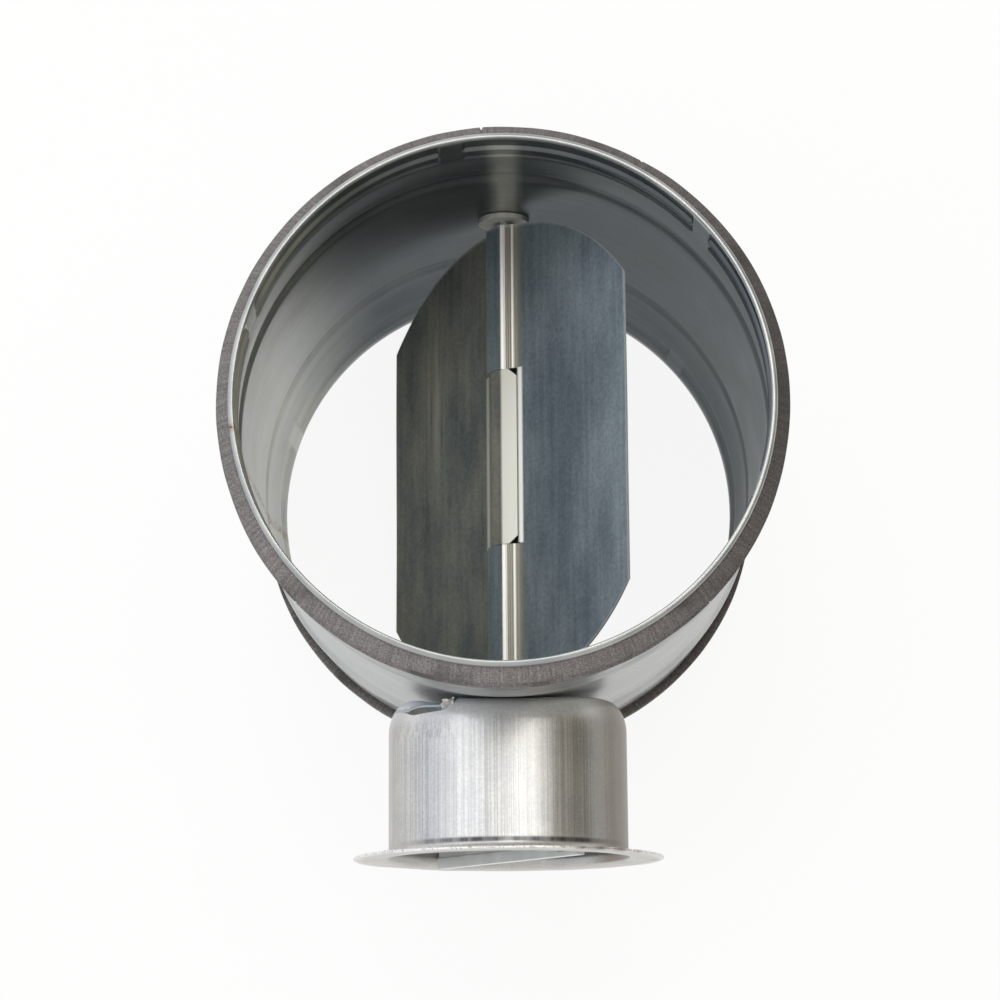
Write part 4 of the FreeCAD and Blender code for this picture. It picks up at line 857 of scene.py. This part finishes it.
# threads on the lower bush and the lock stud, in metres; each starts so far down the shaft line
threadStart = {"bush": 0.0846, "stud": 0.0940}
ridges = threadTree()
downShaft = Matrix.Translation(Vector((0, 0, middle)) * mm) @ Matrix.Rotation(math.radians(90), 4, "X")
bushPlace = Vector((0, 0, threadStart["bush"]))
bushThread = threadPiece("bushThread", ridges, {"Turns": 3, "Pitch": 0.001, "Radius": 0.00585, "Depth": 0.00035,
                                                "Finish": acetal}, downShaft @ Matrix.Translation(bushPlace))
studPlace = Vector((studAt * mm, -studAt * mm, threadStart["stud"]))
studThread = threadPiece("studThread", ridges, {"Turns": 5, "Pitch": 0.0008, "Radius": 0.0029, "Depth": 0.00028,
                                                "Finish": zinc}, downShaft @ Matrix.Translation(studPlace))


# finishes, bodies and slots
finishes = [
    (tubeSteel, ["duct_shell"]), (cupSteel, ["setting_cup"]), (bladeNearSteel, ["blade_near_half"]),
    (bladeFarSteel, ["blade_far_half"]), (rubber, ["rear_seal", "front_seal", "shaft_seal"]),
    (acetal, ["upper_bush", "lower_bush", "bearing_nut"]), (pressed, ["quadrant_plate", "handle"]),
    (zinc, ["shaft", "shaft_clip", "upper_bush_clip", "lock_stud", "lock_washer", "spring_washer", "wing_nut",
            "cup_rivets", "handle_rivets"]),
]


def coat(piece, material):
    piece.data.materials.clear()
    piece.data.materials.append(material)


for material, nodes in finishes:
    for node in nodes:
        coat(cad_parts[node], material)

made = [
    (ductShell, "duct", "galvanised_sheet", tubeSteel, "duct_shell"),
    (rearSeal, "duct", "seal_rubber", rubber, "rear_seal"),
    (frontSeal, "duct", "seal_rubber", rubber, "front_seal"),
    (settingCup, "duct", "galvanised_sheet", cupSteel, "setting_cup"),
    (tongue, "duct", "galvanised_sheet", tongueSteel, None),
    (tornCorner, "duct", "galvanised_sheet", cupSteel, None),
    (bushThread, "duct", "bush_plastic", acetal, None),
    (studThread, "duct", "zinc_plated", zinc, None),
    (bladeNearHalf, "blade", "blade_sheet", bladeNearSteel, "blade_near_half"),
    (bladeFarHalf, "blade", "blade_sheet", bladeFarSteel, "blade_far_half"),
]
for piece, body, slot, material, node in made:
    coat(piece, material)
    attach(piece, body)
    if node:
        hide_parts(node)
print("pieces", len(made))


# floor, light and camera
def paleFloor():
    # nearly white to the camera and in reflections, with a tenth of its shading kept for the object's shadow
    material, tree = emptyMaterial("paleFloor")
    matt = addNode(tree, "ShaderNodeBsdfPrincipled", {"Base Color": "#f2f2f0", "Roughness": 0.9})
    path = addNode(tree, "ShaderNodeLightPath")
    seen = addNode(tree, "ShaderNodeMath", {"operation": "MAXIMUM"},
                   {0: path.outputs["Is Camera Ray"], 1: path.outputs["Is Glossy Ray"]})
    seen = addNode(tree, "ShaderNodeMath", {"operation": "MAXIMUM"},
                   {0: seen, 1: path.outputs["Is Transmission Ray"]})
    share = addNode(tree, "ShaderNodeMath", {"operation": "MULTIPLY", 1: 0.9}, {0: seen})
    glow = addNode(tree, "ShaderNodeEmission", {"Color": (1, 1, 1, 1), "Strength": 1.0})
    mixed = addNode(tree, "ShaderNodeMixShader", {}, {0: share, 1: matt, 2: glow})
    addNode(tree, "ShaderNodeOutputMaterial", {}, {"Surface": mixed})
    return material


ground = {"half": 3, "height": -0.0003}  # metres, just below the duct's end
floor = meshObject("floor", [(x * ground["half"], y * ground["half"], ground["height"])
                             for x, y in ((-1, -1), (1, -1), (1, 1), (-1, 1))], [(0, 1, 2, 3)])
coat(floor, paleFloor())

world = bpy.data.worlds.new("studio")
bpy.context.scene.world = world
world.use_nodes = True
sky = world.node_tree
sky.nodes.clear()
direction = addNode(sky, "ShaderNodeTexCoord").outputs["Generated"]
parts = addNode(sky, "ShaderNodeSeparateXYZ", {}, {"Vector": direction})
across = addNode(sky, "ShaderNodeMapRange", {"From Min": -1.0, "From Max": 1.0}, {"Value": parts.outputs["X"]})
tent = addNode(sky, "ShaderNodeValToRGB", {"stops": [
    (0.0, "#ccd3e0"), (0.18, "#eeeff4"), (0.42, "#f2f2f0"), (0.58, "#f2f0ec"), (0.70, "#cbc5b8"), (0.83, "#8b8475"),
    (1.0, "#665e50")]}, {"Fac": across})
studio = addNode(sky, "ShaderNodeBackground", {"Strength": 1.0}, {"Color": tent})
addNode(sky, "ShaderNodeOutputWorld", {}, {"Surface": studio})

lamps = {  # place and aim in metres, size in metres, power in watts
    "overhead": ((0.10, 0.42, 1.35), (0, 0, 0.08), (0.6, 0.5), 3.8),
    "leftSoft": ((-0.78, 0.24, 0.88), (0, 0, 0.08), (1.0, 1.0), 2.6),
    "rightHigh": ((0.55, -0.05, 1.25), (0, -0.02, 0.1), (0.3, 0.5), 1.4),
}
for name, (place, aim, size, power) in lamps.items():
    lamp = bpy.data.lights.new(name, "AREA")
    lamp.shape = "RECTANGLE"
    lamp.size, lamp.size_y = size
    lamp.energy = power
    holder = bpy.data.objects.new(name, lamp)
    holder.location = place
    holder.rotation_euler = (Vector(aim) - Vector(place)).to_track_quat("-Z", "Y").to_euler()
    bpy.context.collection.objects.link(holder)

view = {"lens": 93.6, "sensor": 36, "place": (0.00718, -0.18475, 0.87654), "turn": (12.1926, 0.738, -0.4038)}
lens = bpy.data.cameras.new("camera")
lens.lens, lens.sensor_width = view["lens"], view["sensor"]
camera = bpy.data.objects.new("camera", lens)
camera.location = view["place"]
camera.rotation_euler = [math.radians(a) for a in view["turn"]]
bpy.context.collection.objects.link(camera)
bpy.context.scene.camera = camera
bpy.context.scene.view_settings.view_transform = "Standard"
print("stage")
